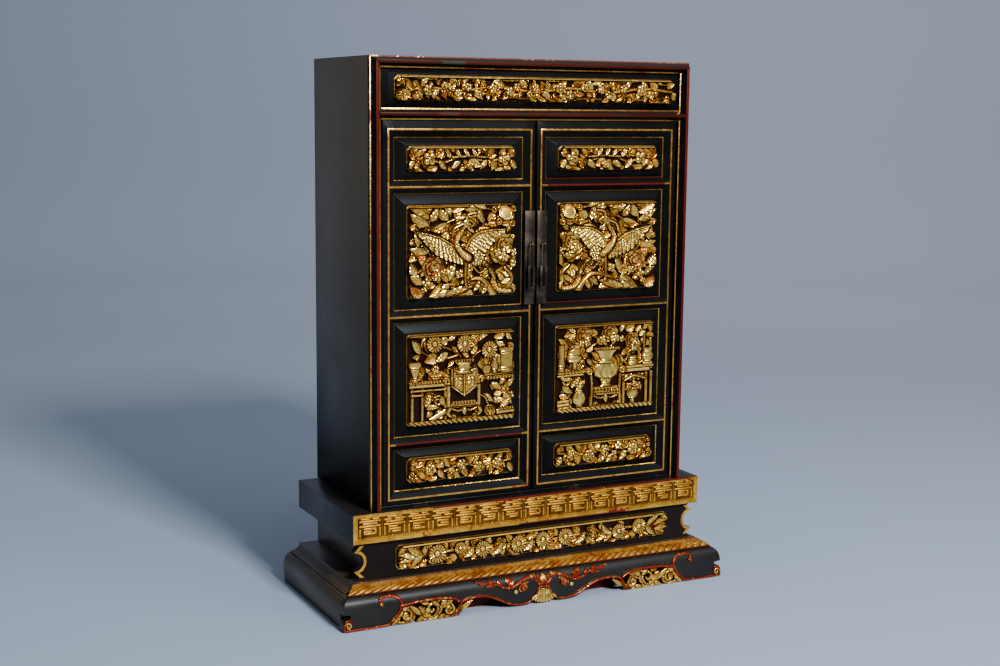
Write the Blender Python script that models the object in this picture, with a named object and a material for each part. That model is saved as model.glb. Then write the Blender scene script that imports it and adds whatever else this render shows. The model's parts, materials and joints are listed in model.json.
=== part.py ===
"""Altar cabinet in black and red lacquer with gilt carving: two framed doors on a moulded base.

Metres, +Z up, the front faces -Y. The origin is the middle of the footprint, on the surface
that the cabinet stands on.
"""
import math

import bmesh
import bpy
from mathutils import Vector
from mathutils.geometry import delaunay_2d_cdt

# Clearances
FIT = 0.0003
DOOR_CLEARANCE = 0.0008
DOOR_MEETING_GAP = 0.0015

# Body: a case of boards with a moulded frame in front
BODY_WIDTH = 0.390
BODY_DEPTH = 0.168
BODY_HEIGHT = 0.481
SIDE_THICKNESS = 0.0120
TOP_THICKNESS = 0.0100
BACK_THICKNESS = 0.0080
FLOOR_THICKNESS = 0.0035

# Frame moulding: gold edges, black slopes and a flat red ridge
FRAME_WIDTH = 0.0122
FRAME_PROUD = 0.0080
FRAME_LIP = 0.0040
FRAME_GOLD_EDGE = 0.0014
FRAME_RIDGE_WIDTH = 0.0034

# Frieze between the top rail and the middle rail
FRIEZE_HEIGHT = 0.0412
FRIEZE_PANEL_THICKNESS = 0.0090
FRIEZE_BEVEL_SIDE = 0.0085
FRIEZE_BEVEL_TOP = 0.0050
FRIEZE_FIELD_RAISE = 0.0040
FRIEZE_MARGIN_SIDE = 0.0040
FRIEZE_MARGIN_TOP = 0.0028
FRIEZE_CARVING_SHIFT = 0.0025
FRIEZE_BLOSSOMS = 9

# Doors: a flat border, a gold bead, then slopes down to four sunk openings each
DOOR_THICKNESS = 0.0130
DOOR_SET_BACK = 0.0015
DOOR_BORDER_HINGE = 0.0072
DOOR_BORDER_MEETING = 0.0046
DOOR_BORDER_TOP = 0.0083
DOOR_BORDER_BOTTOM = 0.0048
DOOR_HINGE_CHAMFER = 0.0025
DOOR_MEETING_CHAMFER = 0.0008
BEAD_WIDTH = 0.0018
BEAD_PROUD = 0.0012
SLOPE_EDGE = 0.0078
SLOPE_RAIL = 0.0066
SLOPE_DEPTH = 0.0045
SMALL_OPENING_HEIGHT = 0.0440
PIVOT_FROM_EDGE = 0.0065
PIVOT_FROM_FACE = 0.0050

# Fielded door panels and the carved blocks on them
PANEL_THICKNESS = 0.0072
PANEL_FIELD_RAISE = 0.0042
PANEL_BEVEL = 0.0100
SMALL_PANEL_BEVEL = 0.0066
PANEL_MARGIN = 0.0022
CARVING_DEPTH = 0.0085
CARVING_GROUND = 0.0024

# Door hardware
PLATE_WIDTH = 0.0122
PLATE_HEIGHT = 0.1030
PLATE_THICKNESS = 0.0012
PLATE_CENTRE_HEIGHT = 0.2662
EYE_RADIUS = 0.0031
EYE_HOLE_RADIUS = 0.0017
EYE_THICKNESS = 0.0014
EYE_PROUD = 0.0046
EYE_RISE = 0.0150
EYE_SHANK_SHARE = 0.45
EYE_SIDES = 10
EYE_HOLE_SIDES = 8
PULL_LENGTH = 0.0510
PULL_WIDTH = 0.0052
PULL_TAB_WIDTH = 0.0088
PULL_TAB_LENGTH = 0.0255
PULL_THICKNESS = 0.0015
PULL_PIN = 0.0014
PULL_SLOT_WIDTH = 0.0027
PULL_FOOT_BAR = 0.0036

# Slab with its carved key-fret edge
SLAB_HEIGHT = 0.0327
SLAB_OVERHANG_SIDE = 0.0227
SLAB_OVERHANG_FRONT = 0.0070
FRET_UNITS = 15
FRET_BORDER = 0.0052
FRET_STROKE = 0.0022
FRET_RAISE = 0.0010
FRET_ROWS = 3

# Waist: plain boards behind a front board with scalloped ends
WAIST_HEIGHT = 0.0423
WAIST_BOARD = 0.0100
WAIST_EAR = 0.0192
WAIST_SCALLOP = 0.0112
WAIST_NOTCH = 0.0066
WAIST_CUSP_SHARE = 0.25
WAIST_SCALLOP_STEPS = 8
WAIST_CARVING_HEIGHT = 0.0262
WAIST_CARVING_DEPTH = 0.0080
WAIST_CARVING_MARGIN_LEFT = 0.0290
WAIST_CARVING_MARGIN_RIGHT = 0.0180
WAIST_BLOSSOMS = 8

# Base: moulded top board, gadrooned front slope, bullnose boards and a cut apron
BASE_HEIGHT = 0.0440
BASE_PROJECTION = 0.0320
BASE_TOP_THICKNESS = 0.0097
BASE_LEDGE = 0.0230
BASE_FASCIA = 0.0017
BASE_CAVETTO = 0.0110
BASE_FILLET = 0.0012
BULLNOSE_REACH = 0.0085
BULLNOSE_SHARE = 0.45
CURVE_STEPS = 4
SIDE_FOOT_TAPER = 0.0015
BASE_BOARD = 0.0115
BACKING_SET_BACK = 0.0085
BACKING_THICKNESS = 0.0080
GADROON_TOP_SET_IN = 0.0260
GADROON_RUN = 0.0150
GADROON_LOBES = 40
GADROON_LOBE_RAISE = 0.0013
GADROON_LEAN = 0.224
GADROON_CREST_ENDS = (0.28, 0.72)
GADROON_FILLET = 0.0022
TOE_REACH = 0.0010
FOOT_WIDTH = 0.0500
APRON_NOTCH = 0.0090
TOE_SHARE = 0.40
APRON_BEAD_WIDTH = 0.0026
APRON_BEAD_RAISE = 0.0012
APRON_SCROLL_WIDTH = 0.0034
APRON_FLOOR_GAP = 0.0008
PLUMP = 1.4
PLUMPER = 1.5
PLUMPEST = 1.8

# Carving is facetted; points closer than this join
MERGE = 0.00025

# Heights and planes that follow from the sizes above
SLAB_BOTTOM = BASE_HEIGHT + WAIST_HEIGHT
SLAB_TOP = SLAB_BOTTOM + SLAB_HEIGHT
BODY_TOP = SLAB_TOP + BODY_HEIGHT
FRIEZE_TOP = BODY_TOP - FRAME_WIDTH
FRIEZE_BOTTOM = FRIEZE_TOP - FRIEZE_HEIGHT
MIDDLE_RAIL_BOTTOM = FRIEZE_BOTTOM - FRAME_WIDTH
BACK_Y = (BODY_DEPTH + BASE_PROJECTION) / 2
FRONT_Y = BACK_Y - BODY_DEPTH
BASE_FRONT_Y = FRONT_Y - BASE_PROJECTION
HALF_BODY = BODY_WIDTH / 2
HALF_OPENING = HALF_BODY - max(SIDE_THICKNESS, FRAME_WIDTH)
DOOR_FACE_Y = FRONT_Y + DOOR_SET_BACK
DOOR_BACK_Y = DOOR_FACE_Y + DOOR_THICKNESS
BEAD_FACE_Y = DOOR_FACE_Y - BEAD_PROUD
PANEL_EDGE_Y = BEAD_FACE_Y + SLOPE_DEPTH + BEAD_PROUD
PANEL_FIELD_Y = PANEL_EDGE_Y - PANEL_FIELD_RAISE
HALF_BASE_TOP = HALF_BODY + BASE_LEDGE
HALF_BASE = HALF_BASE_TOP + BASE_CAVETTO + BULLNOSE_REACH
BASE_BOARD_TOP = BASE_HEIGHT - BASE_TOP_THICKNESS


# Finishes as (colour, roughness, metallic)
BLACK_LACQUER = ((0.012, 0.012, 0.014), 0.35, 0.0)
RED_LACQUER = ((0.30, 0.035, 0.015), 0.40, 0.0)
GILDING = ((0.72, 0.46, 0.13), 0.38, 0.9)
AGED_BRONZE = ((0.10, 0.075, 0.045), 0.50, 0.8)


def finish_material(name, finish):
    """A plain Principled BSDF with the colour, roughness and metallic value of one finish."""
    colour, roughness, metallic = finish
    material = bpy.data.materials.new(name)
    material.use_nodes = True
    shader = material.node_tree.nodes["Principled BSDF"]
    shader.inputs["Base Color"].default_value = (*colour, 1.0)
    shader.inputs["Roughness"].default_value = roughness
    shader.inputs["Metallic"].default_value = metallic
    return material


# Mesh helpers
def add_piece(name, mesh_builder, finish=BLACK_LACQUER):
    """One closed body as its own object, with its faces pointing out."""
    bmesh.ops.recalc_face_normals(mesh_builder, faces=mesh_builder.faces)
    mesh = bpy.data.meshes.new(name)
    mesh_builder.to_mesh(mesh)
    mesh_builder.free()
    mesh.materials.append(finish_material(name, finish))
    piece = bpy.data.objects.new(name, mesh)
    bpy.context.scene.collection.objects.link(piece)
    return piece


def joint_axis(name, place, turn=(0.0, 0.0, 0.0)):
    """An empty on a joint's axis, with its local Z along the axis."""
    empty = bpy.data.objects.new(name, None)
    empty.location = place
    empty.rotation_euler = turn
    bpy.context.scene.collection.objects.link(empty)
    return empty


def hang(pieces, empty):
    """Parent pieces to a joint's empty, and leave them where they are."""
    bpy.context.view_layer.update()
    for piece in pieces:
        piece.parent = empty
        piece.matrix_parent_inverse = empty.matrix_world.inverted()


def bridge(builder, first, second):
    """A band of quads between two closed loops with the same number of points."""
    count = len(first)
    for index in range(count):
        after = (index + 1) % count
        builder.faces.new((first[index], first[after], second[after], second[index]))


def board(name, low, high, finish=BLACK_LACQUER):
    """A plain board between two corners."""
    builder = bmesh.new()
    bmesh.ops.create_cube(builder, size=1.0)
    size = Vector(high) - Vector(low)
    middle = (Vector(high) + Vector(low)) / 2
    bmesh.ops.scale(builder, vec=size, verts=builder.verts)
    bmesh.ops.translate(builder, vec=middle, verts=builder.verts)
    return add_piece(name, builder, finish)


def prism(name, start, end, finish=BLACK_LACQUER):
    """A solid between two closed loops of points that match one to one."""
    builder = bmesh.new()
    first = [builder.verts.new(point) for point in start]
    second = [builder.verts.new(point) for point in end]
    bridge(builder, first, second)
    builder.faces.new(first)
    builder.faces.new(second)
    return add_piece(name, builder, finish)


def inside(point, loop):
    """Whether a flat point lies inside a closed loop of flat points."""
    within = False
    count = len(loop)
    for index in range(count):
        a = loop[index]
        b = loop[(index + 1) % count]
        if (a[1] > point[1]) != (b[1] > point[1]):
            crossing = a[0] + (point[1] - a[1]) * (b[0] - a[0]) / (b[1] - a[1])
            if point[0] < crossing:
                within = not within
    return within


def region_around(first, triangles, beside, walls):
    """The triangles that are reached from one without crossing a wall, and whether they leak out."""
    found = {first}
    waiting = [first]
    leaks = False
    while waiting:
        triangle = triangles[waiting.pop()]
        for a, b in zip(triangle, triangle[1:] + triangle[:1]):
            edge = frozenset((a, b))
            if edge in walls:
                continue
            neighbours = beside[edge]
            leaks = leaks or len(neighbours) == 1
            for index in neighbours:
                if index not in found:
                    found.add(index)
                    waiting.append(index)
    return found, leaks


def filled_net(points, edges, wall_count, outline, holes, merge):
    """Triangles between an outline and its holes, which the first edges of the list follow."""
    corners, links, triangles, sources, link_sources, _ = delaunay_2d_cdt(points, edges, [], 0, merge)
    triangles = [list(triangle) for triangle in triangles]
    walls = set()
    for link, origins in zip(links, link_sources):
        if any(origin < wall_count for origin in origins):
            walls.add(frozenset(link))
    beside = {}
    for index, triangle in enumerate(triangles):
        for a, b in zip(triangle, triangle[1:] + triangle[:1]):
            beside.setdefault(frozenset((a, b)), []).append(index)
    kept = []
    seen = set()
    for index in range(len(triangles)):
        if index in seen:
            continue
        region, leaks = region_around(index, triangles, beside, walls)
        seen |= region
        spread = [(flat_area([corners[i] for i in triangles[k]]), k) for k in region]
        largest = triangles[max(spread)[1]]
        centre = sum((corners[i] for i in largest), Vector((0.0, 0.0))) / 3
        if not leaks and inside(centre, outline) and not any(inside(centre, hole) for hole in holes):
            kept.extend(triangles[k] for k in sorted(region))
    return corners, kept, sources


def flat_area(spots):
    """The area of a flat triangle."""
    return abs((spots[1] - spots[0]).cross(spots[2] - spots[0])) / 2


def flat_net(outline, holes, lines):
    """Triangles that fill an outline, leave its holes open and follow the given lines."""
    points = []
    edges = []
    wall_count = len(outline) + sum(len(hole) for hole in holes)
    for line, closed in [(outline, True)] + [(hole, True) for hole in holes] + lines:
        first = len(points)
        points.extend(Vector(point) for point in line)
        edges.extend((first + i, first + i + 1) for i in range(len(line) - 1))
        if closed:
            edges.append((len(points) - 1, first))
    corners, kept, _ = filled_net(points, edges, wall_count, outline, holes, MERGE)
    return corners, kept


def rim_edges(triangles):
    """The edges that belong to one triangle only, in the order that their triangle has them."""
    owned = {}
    for triangle in triangles:
        for index in range(3):
            edge = (triangle[index], triangle[(index + 1) % 3])
            owned[edge] = True
    return [edge for edge in owned if (edge[1], edge[0]) not in owned]


def carved_piece(name, outline, holes, forms, ground, place, finish=BLACK_LACQUER):
    """A solid whose front is carved: place(u, v, depth) puts a point that far in front of the back.

    The outline and the forms are in the piece's own flat u and v. ground(u, v) is the depth of the
    plain face there, and each form adds its own height to it.
    """
    lines = [line for form in forms for line in form[0]]
    corners, triangles = flat_net(outline, holes, lines)

    def depth(point):
        raised = max([0.0] + [form[1](point) for form in forms])
        return ground(point[0], point[1]) + raised

    builder = bmesh.new()
    front = {}
    for triangle in triangles:
        for index in triangle:
            if index not in front:
                point = corners[index]
                front[index] = builder.verts.new(place(point[0], point[1], depth(point)))
        builder.faces.new([front[index] for index in triangle])
    rim = rim_edges(triangles)
    back = {}
    for edge in rim:
        for index in edge:
            if index not in back:
                point = corners[index]
                back[index] = builder.verts.new(place(point[0], point[1], 0.0))
    for a, b in rim:
        builder.faces.new((front[b], front[a], back[a], back[b]))
    flat_back = rim_loops_net(corners, rim, outline, holes)
    for triangle in flat_back:
        builder.faces.new([back[index] for index in reversed(triangle)])
    return add_piece(name, builder, finish)


def rim_loops_net(corners, rim, outline, holes):
    """Triangles for the flat back, which use only the points on the rim."""
    order = sorted({index for edge in rim for index in edge})
    local = {index: position for position, index in enumerate(order)}
    points = [corners[index] for index in order]
    edges = [(local[a], local[b]) for a, b in rim]
    _, triangles, sources = filled_net(points, edges, len(edges), outline, holes, 0.0)
    return [[order[sources[i][0]] for i in triangle] for triangle in triangles]


def nested_panel(name, rings, back_y):
    """A panel whose front steps inwards through (left, right, bottom, top, y) rings."""
    builder = bmesh.new()

    def loop(ring, y):
        left, right, bottom, top = ring[:4]
        spots = ((left, bottom), (right, bottom), (right, top), (left, top))
        return [builder.verts.new((x, y, z)) for x, z in spots]

    previous = loop(rings[0], back_y)
    builder.faces.new(previous)
    for ring in rings:
        current = loop(ring, ring[4])
        bridge(builder, previous, current)
        previous = current
    builder.faces.new(previous)
    return add_piece(name, builder)


# Carved forms: each is its lines and its height over any point
def across(point, start, end):
    """How far along and how far beside the line from start to end a point lies."""
    axis = end - start
    length = axis.length
    axis = axis / length
    offset = point - start
    return offset.dot(axis) / length, abs(offset.cross(axis)), length


LEAF_SHOULDER = 0.32
LEAF_WAIST = 0.72
LEAF_WAIST_SHARE = 0.78
LEAF_POINT = 0.003
RIB_START_SHARE = 0.7
RING_SHARE = 0.56
RING_REACH = 0.98
RIBBON_FALL = 0.98
LEAST_HEIGHT = 0.001


def leaf_spread(share):
    """Half width of a leaf along its length, as a share of its widest half width."""
    stations = ((0.0, 0.0), (LEAF_SHOULDER, 1.0), (LEAF_WAIST, LEAF_WAIST_SHARE), (1.0, 0.0))
    for (a, low), (b, high) in zip(stations, stations[1:]):
        if share <= b:
            return low + (high - low) * (share - a) / (b - a)
    return 0.0


def leaf(start, end, width, crest):
    """A pointed leaf or feather with a raised midrib."""
    axis = (end - start).normalized()
    side = Vector((-axis.y, axis.x)) * width / 2
    run = end - start
    outline = [start]
    outline += [start + run * LEAF_SHOULDER + side, start + run * LEAF_WAIST + side * LEAF_WAIST_SHARE]
    outline += [end]
    outline += [start + run * LEAF_WAIST - side * LEAF_WAIST_SHARE, start + run * LEAF_SHOULDER - side]
    rib = [start + run * LEAF_SHOULDER * RIB_START_SHARE, start + run * LEAF_WAIST]

    def height(point):
        share, beside, _ = across(point, start, end)
        if not LEAF_POINT < share < 1.0 - LEAF_POINT:
            return 0.0
        spread = leaf_spread(share) * width / 2
        return crest * max(0.0, 1.0 - beside / spread)

    return [(outline, True), (rib, False)], height


def blossom(centre, radius, petals, crest, dish=0.72, notch=0.74, turn=0.0):
    """An open flower: a lobed rim, a raised ring of petals and a dished middle."""
    def spot(angle, reach):
        return centre + Vector((math.cos(angle), math.sin(angle))) * reach

    step = 2 * math.pi / petals
    rim = []
    for k in range(petals):
        rim.append(spot(turn + k * step, radius))
        rim.append(spot(turn + (k + 0.5) * step, radius * notch))
    ring = [spot(turn + k * step, radius * RING_SHARE) for k in range(petals)]

    def height(point):
        offset = point - centre
        reach = offset.length
        phase = (math.atan2(offset.y, offset.x) - turn) / step
        lobe = abs(2 * (phase - math.floor(phase)) - 1)
        edge = radius * (notch + (1 - notch) * lobe)
        if reach >= edge:
            return 0.0
        if reach >= radius * RING_SHARE * RING_REACH:
            return crest * min(1.0, (edge - reach) / (edge - radius * RING_SHARE))
        return crest * (dish + (1 - dish) * reach / (radius * RING_SHARE))

    return [(rim, True), (ring, True), ([centre, ring[0]], False)], height


def dome(centre, radius, sides, crest, flat=0.6):
    """A round boss with a flat top."""
    def circle(reach):
        angles = [2 * math.pi * k / sides for k in range(sides)]
        return [centre + Vector((math.cos(a), math.sin(a))) * reach for a in angles]

    def height(point):
        reach = (point - centre).length
        if reach >= radius * math.cos(math.pi / sides):
            return 0.0
        return crest * min(1.0, (radius - reach) / (radius * (1 - flat)) + LEAST_HEIGHT)

    return [(circle(radius), True), (circle(radius * flat), True)], height


def ribbon(points, width, crest):
    """A round-backed stem, scroll or plume along a few points."""
    left = []
    right = []
    for index, point in enumerate(points):
        before = points[max(index - 1, 0)]
        after = points[min(index + 1, len(points) - 1)]
        axis = (after - before).normalized()
        side = Vector((-axis.y, axis.x)) * width / 2
        left.append(point + side)
        right.append(point - side)
    tip = (points[-1] - points[-2]).normalized() * width / 2
    tail = (points[0] - points[1]).normalized() * width / 2
    outline = [points[0] + tail] + left + [points[-1] + tip] + right[::-1]

    def height(point):
        best = width
        for start, end in zip(points, points[1:]):
            share, beside, length = across(point, start, end)
            beyond = max(-share, share - 1.0, 0.0) * length
            best = min(best, math.hypot(beside, beyond))
        return crest * max(0.0, 1.0 - best / (width / 2) * RIBBON_FALL)

    return [(outline, True), (list(points), False)], height


def bar(low, high, slope, crest):
    """A straight flat-topped bar between two corners."""
    def corners(inset):
        left, bottom = low[0] + inset, low[1] + inset
        right, top = high[0] - inset, high[1] - inset
        return [Vector(spot) for spot in ((left, bottom), (right, bottom), (right, top), (left, top))]

    def height(point):
        inset = min(point[0] - low[0], high[0] - point[0], point[1] - low[1], high[1] - point[1])
        return crest * min(1.0, max(0.0, inset / slope) + LEAST_HEIGHT) if inset > 0 else 0.0

    return [(corners(0.0), True), (corners(slope), True)], height


def stroke(low, high, crest):
    """A short straight ridge, pointed like a roof, that fills the box between two corners."""
    half = min(high[0] - low[0], high[1] - low[1]) / 2
    outline = [Vector(spot) for spot in (low, (high[0], low[1]), high, (low[0], high[1]))]
    spine = [Vector((low[0] + half, low[1] + half)), Vector((high[0] - half, high[1] - half))]

    def height(point):
        inset = min(point[0] - low[0], high[0] - point[0], point[1] - low[1], high[1] - point[1])
        return crest * max(0.0, inset / half)

    return [(outline, True), (spine, False)], height


VESSEL_SHOULDER = 0.62
VESSEL_LIP = 0.06


def turned_vessel(foot, sections, crest):
    """A vase, jar or stand seen from the front: (height, half width) sections above its foot."""
    bottom = sections[0][0]
    top = sections[-1][0]
    lip = (top - bottom) * VESSEL_LIP

    def outline(share, inset):
        spots = [(min(max(rise, bottom + inset), top - inset), half * share) for rise, half in sections]
        right = [foot + Vector((half, rise)) for rise, half in spots]
        left = [foot + Vector((-half, rise)) for rise, half in spots]
        return right + left[::-1]

    def height(point):
        rise = point[1] - foot[1]
        for (low, narrow), (high, wide) in zip(sections, sections[1:]):
            if low <= rise <= high:
                half = narrow + (wide - narrow) * (rise - low) / (high - low)
                beside = (1.0 - abs(point[0] - foot[0]) / half) / (1.0 - VESSEL_SHOULDER)
                return crest * max(0.0, min(1.0, beside, (rise - bottom) / lip, (top - rise) / lip))
        return 0.0

    return [(outline(1.0, 0.0), True), (outline(VESSEL_SHOULDER, lip), True)], height


# The cabinet's body
def mirrored(side, x):
    """An x on the left half, or its mirror on the right half."""
    return x if side < 0 else -x


SIDES = ((-1, "left"), (1, "right"))


def frame_section():
    """The moulding's section as (distance from its outer edge, y)."""
    ridge = (FRAME_WIDTH - FRAME_RIDGE_WIDTH) / 2
    front = FRONT_Y - FRAME_PROUD
    return [
        (0.0, FRONT_Y + FRAME_LIP), (0.0, FRONT_Y), (FRAME_GOLD_EDGE, FRONT_Y), (ridge, front),
        (ridge + FRAME_RIDGE_WIDTH, front), (FRAME_WIDTH - FRAME_GOLD_EDGE, FRONT_Y),
        (FRAME_WIDTH, FRONT_Y), (FRAME_WIDTH, FRONT_Y + FRAME_LIP),
    ]


def coped_end(y):
    """How far a rail that meets a stile reaches over the stile's inner slope, at one y."""
    reach = FRAME_WIDTH - (FRAME_WIDTH + FRAME_RIDGE_WIDTH) / 2
    return max(0.0, (FRONT_Y - y) / FRAME_PROUD) * reach


def build_frame():
    """Two stiles, mitred to the top rail, and a middle rail coped over them."""
    section = frame_section()
    for side, word in SIDES:
        foot = [(mirrored(side, u - HALF_BODY), y, SLAB_TOP + FIT) for u, y in section]
        head = [(mirrored(side, u - HALF_BODY), y, BODY_TOP - u - FIT) for u, y in section]
        prism(f"stile_{word}", foot, head)
    top = [(u - HALF_BODY + FIT, y, BODY_TOP - u) for u, y in section]
    prism("rail_top", top, [(-x, y, z) for x, y, z in top])
    inner = HALF_BODY - FRAME_WIDTH - FIT
    middle = [(-inner - coped_end(y) + FIT, y, FRIEZE_BOTTOM - u) for u, y in section]
    prism("rail_middle", middle, [(-x, y, z) for x, y, z in middle])


def build_case():
    """The boards behind the frame."""
    board_front = FRONT_Y + FRAME_LIP + FIT
    for side, word in SIDES:
        outer = side * HALF_BODY
        inner = side * (HALF_BODY - SIDE_THICKNESS)
        low = (min(outer, inner), board_front, SLAB_TOP + FIT)
        high = (max(outer, inner), BACK_Y, BODY_TOP)
        board(f"side_{word}", low, high)
    half = HALF_BODY - SIDE_THICKNESS - FIT
    under_top = BODY_TOP - TOP_THICKNESS
    board("top_board", (-half, board_front, under_top), (half, BACK_Y, BODY_TOP))
    back_front = BACK_Y - BACK_THICKNESS
    back_low = (-half, back_front, SLAB_TOP + FIT)
    board("back_board", back_low, (half, BACK_Y, under_top - FIT))
    floor_half = HALF_OPENING - FIT
    floor_low = (-floor_half, DOOR_FACE_Y, SLAB_TOP + FIT)
    floor_high = (floor_half, back_front - FIT, SLAB_TOP + FLOOR_THICKNESS)
    board("floor_board", floor_low, floor_high)
    build_frieze(half, under_top)


def build_frieze(half, under_top):
    """The fielded panel behind the rails and the carved strip on it."""
    edge_y = FRONT_Y + FRAME_LIP + FIT
    field_y = edge_y - FRIEZE_FIELD_RAISE
    opening = (-HALF_OPENING, HALF_OPENING, FRIEZE_BOTTOM, FRIEZE_TOP)
    opening = inset_box(opening, FIT, FIT)
    field = inset_box(opening, FRIEZE_BEVEL_SIDE, FRIEZE_BEVEL_TOP)
    outer = (-half, half, MIDDLE_RAIL_BOTTOM + FRAME_WIDTH / 2, under_top - FIT)
    rings = [(*outer, edge_y), (*opening, edge_y), (*field, field_y)]
    nested_panel("frieze_panel", rings, edge_y + FRIEZE_PANEL_THICKNESS)
    box = inset_box(field, FRIEZE_MARGIN_SIDE, FRIEZE_MARGIN_TOP)
    box = (box[0] + FRIEZE_CARVING_SHIFT, box[1] + FRIEZE_CARVING_SHIFT, box[2], box[3])
    carve_block("frieze_carving", box, field_y - FIT, flowering_branch, FRIEZE_BLOSSOMS)


def inset_box(box, side, top):
    """A (left, right, bottom, top) box drawn in by a margin on its sides and at top and bottom."""
    return (box[0] + side, box[1] - side, box[2] + top, box[3] - top)


# Carved blocks
CORNER_CUT = 0.10
LARGE_CORNER_CUT = 0.02


def block_outline(width, height, cut):
    """A rectangle with its four corners cut off."""
    return [
        (cut, 0.0), (width - cut, 0.0), (width, cut), (width, height - cut),
        (width - cut, height), (cut, height), (0.0, height - cut), (0.0, cut),
    ]


def carve_block(name, box, back_y, layout, detail, flip=False, depth=CARVING_DEPTH):
    """One carved block over a (left, right, bottom, top) box; layout gives its forms."""
    left, right, bottom, top = box
    width = right - left
    height = top - bottom

    def at(u, v):
        return Vector(((1 - u if flip else u) * width, v * height))

    forms = layout(at, height, depth - CARVING_GROUND, detail)
    cut = height * CORNER_CUT if height < width / 2 else height * LARGE_CORNER_CUT

    def place(u, v, reach):
        return (left + u, back_y - reach, bottom + v)

    outline = block_outline(width, height, cut)
    return carved_piece(name, outline, [], forms, lambda u, v: CARVING_GROUND, place, GILDING)


def flowering_branch(at, height, crest, flowers):
    """Blossoms in a row along a stem, with a leaf after each, up and down by turns."""
    stem = [at(0.03, 0.5), at(0.35, 0.42), at(0.65, 0.58), at(0.97, 0.5)]
    forms = [ribbon(stem, height * 0.12, crest * 0.6)]
    pitch = 1.0 / flowers
    for k in range(flowers):
        middle = (k + 0.44) * pitch
        lift = 0.13 if k % 2 else -0.13
        forms.append(blossom(at(middle, 0.5 + lift), height * 0.34, 5, crest, turn=k))
        root = middle + pitch * 0.30
        tip = at(root + pitch * 0.42, 0.5 - 2.7 * lift)
        forms.append(leaf(at(root, 0.5 + lift), tip, height * 0.34, crest * 0.8))
    return forms


def chrysanthemum_row(at, height, crest, flowers):
    """Many-petalled heads in a row, with leaves between them and a fan of leaves at both ends."""
    forms = [ribbon([at(0.02, 0.5), at(0.98, 0.5)], height * 0.12, crest / 2)]
    for k in range(flowers):
        middle = 0.10 + 0.80 * (k + 0.5) / flowers
        lift = 0.07 if k % 2 else -0.07
        forms.append(blossom(at(middle, 0.5 + lift), height * 0.40, 7, crest, notch=0.86, dish=0.9))
    for root, tip in ((0.10, 0.01), (0.90, 0.99)):
        for rise in (0.12, 0.88):
            forms.append(leaf(at(root, 0.5), at(tip, rise), height * 0.34, crest * 0.85))
    for k in range(1, flowers):
        middle = 0.10 + 0.80 * k / flowers
        rise = 0.95 if k % 2 else 0.05
        forms.append(leaf(at(middle, 0.5), at(middle + 0.03, rise), height * 0.24, crest * 0.8))
    return forms


def spray(at, height, crest, flowers):
    """A short strip: blossoms on a stem, with a pair of leaves after each but the last."""
    forms = [ribbon([at(0.05, 0.45), at(0.5, 0.55), at(0.95, 0.45)], height * 0.11, crest / 2)]
    for k in range(flowers):
        middle = 0.14 + 0.72 * k / (flowers - 1)
        forms.append(blossom(at(middle, 0.5), height * 0.38, 5, crest, turn=k * 0.7))
    for k in range(flowers - 1):
        middle = 0.14 + 0.72 * (k + 0.5) / (flowers - 1)
        for rise in (0.10, 0.90):
            forms.append(leaf(at(middle - 0.09, 0.5), at(middle + 0.06, rise), height * 0.30, crest * 0.8))
    return forms


def wing(height, crest, shoulder, elbow, tip, feathers):
    """A spread wing: an arm from the shoulder to the tip and a row of feathers under it."""
    forms = [ribbon([shoulder, elbow, tip], height * 0.085, crest)]
    for k in range(feathers):
        share = (k + 0.6) / feathers
        root = shoulder.lerp(tip, share)
        drop = Vector((0.0, -height * (0.26 - 0.14 * share)))
        spread = (tip - shoulder) * (0.05 + 0.16 * share)
        forms.append(leaf(root, root + drop + spread, height * 0.085, crest * 0.8))
    return forms


def phoenix_bird(at, height, crest):
    """The bird: two wings, head, neck and body in one bend, crest plumes, tail and leg."""
    forms = wing(height, crest, at(0.44, 0.60), at(0.30, 0.68), at(0.07, 0.73), 4)
    forms += wing(height, crest, at(0.54, 0.56), at(0.68, 0.70), at(0.88, 0.74), 4)
    neck = [at(0.53, 0.79), at(0.42, 0.66), at(0.49, 0.48), at(0.58, 0.42)]
    forms.append(ribbon(neck, height * 0.11, crest))
    forms.append(dome(at(0.53, 0.79), height * 0.055, 6, crest))
    forms.append(leaf(at(0.54, 0.78), at(0.61, 0.69), height * 0.06, crest))
    for plume in ([at(0.52, 0.82), at(0.42, 0.80), at(0.37, 0.72)], [at(0.53, 0.83), at(0.62, 0.89)]):
        forms.append(ribbon(plume, height * 0.055, crest * 0.9))
    forms.append(dome(at(0.64, 0.42), height * 0.10, 8, crest, flat=0.5))
    forms.append(ribbon([at(0.70, 0.39), at(0.79, 0.26), at(0.82, 0.05)], height * 0.08, crest * 0.9))
    forms.append(ribbon([at(0.52, 0.42), at(0.525, 0.12)], height * 0.04, crest * 0.9))
    return forms


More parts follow.
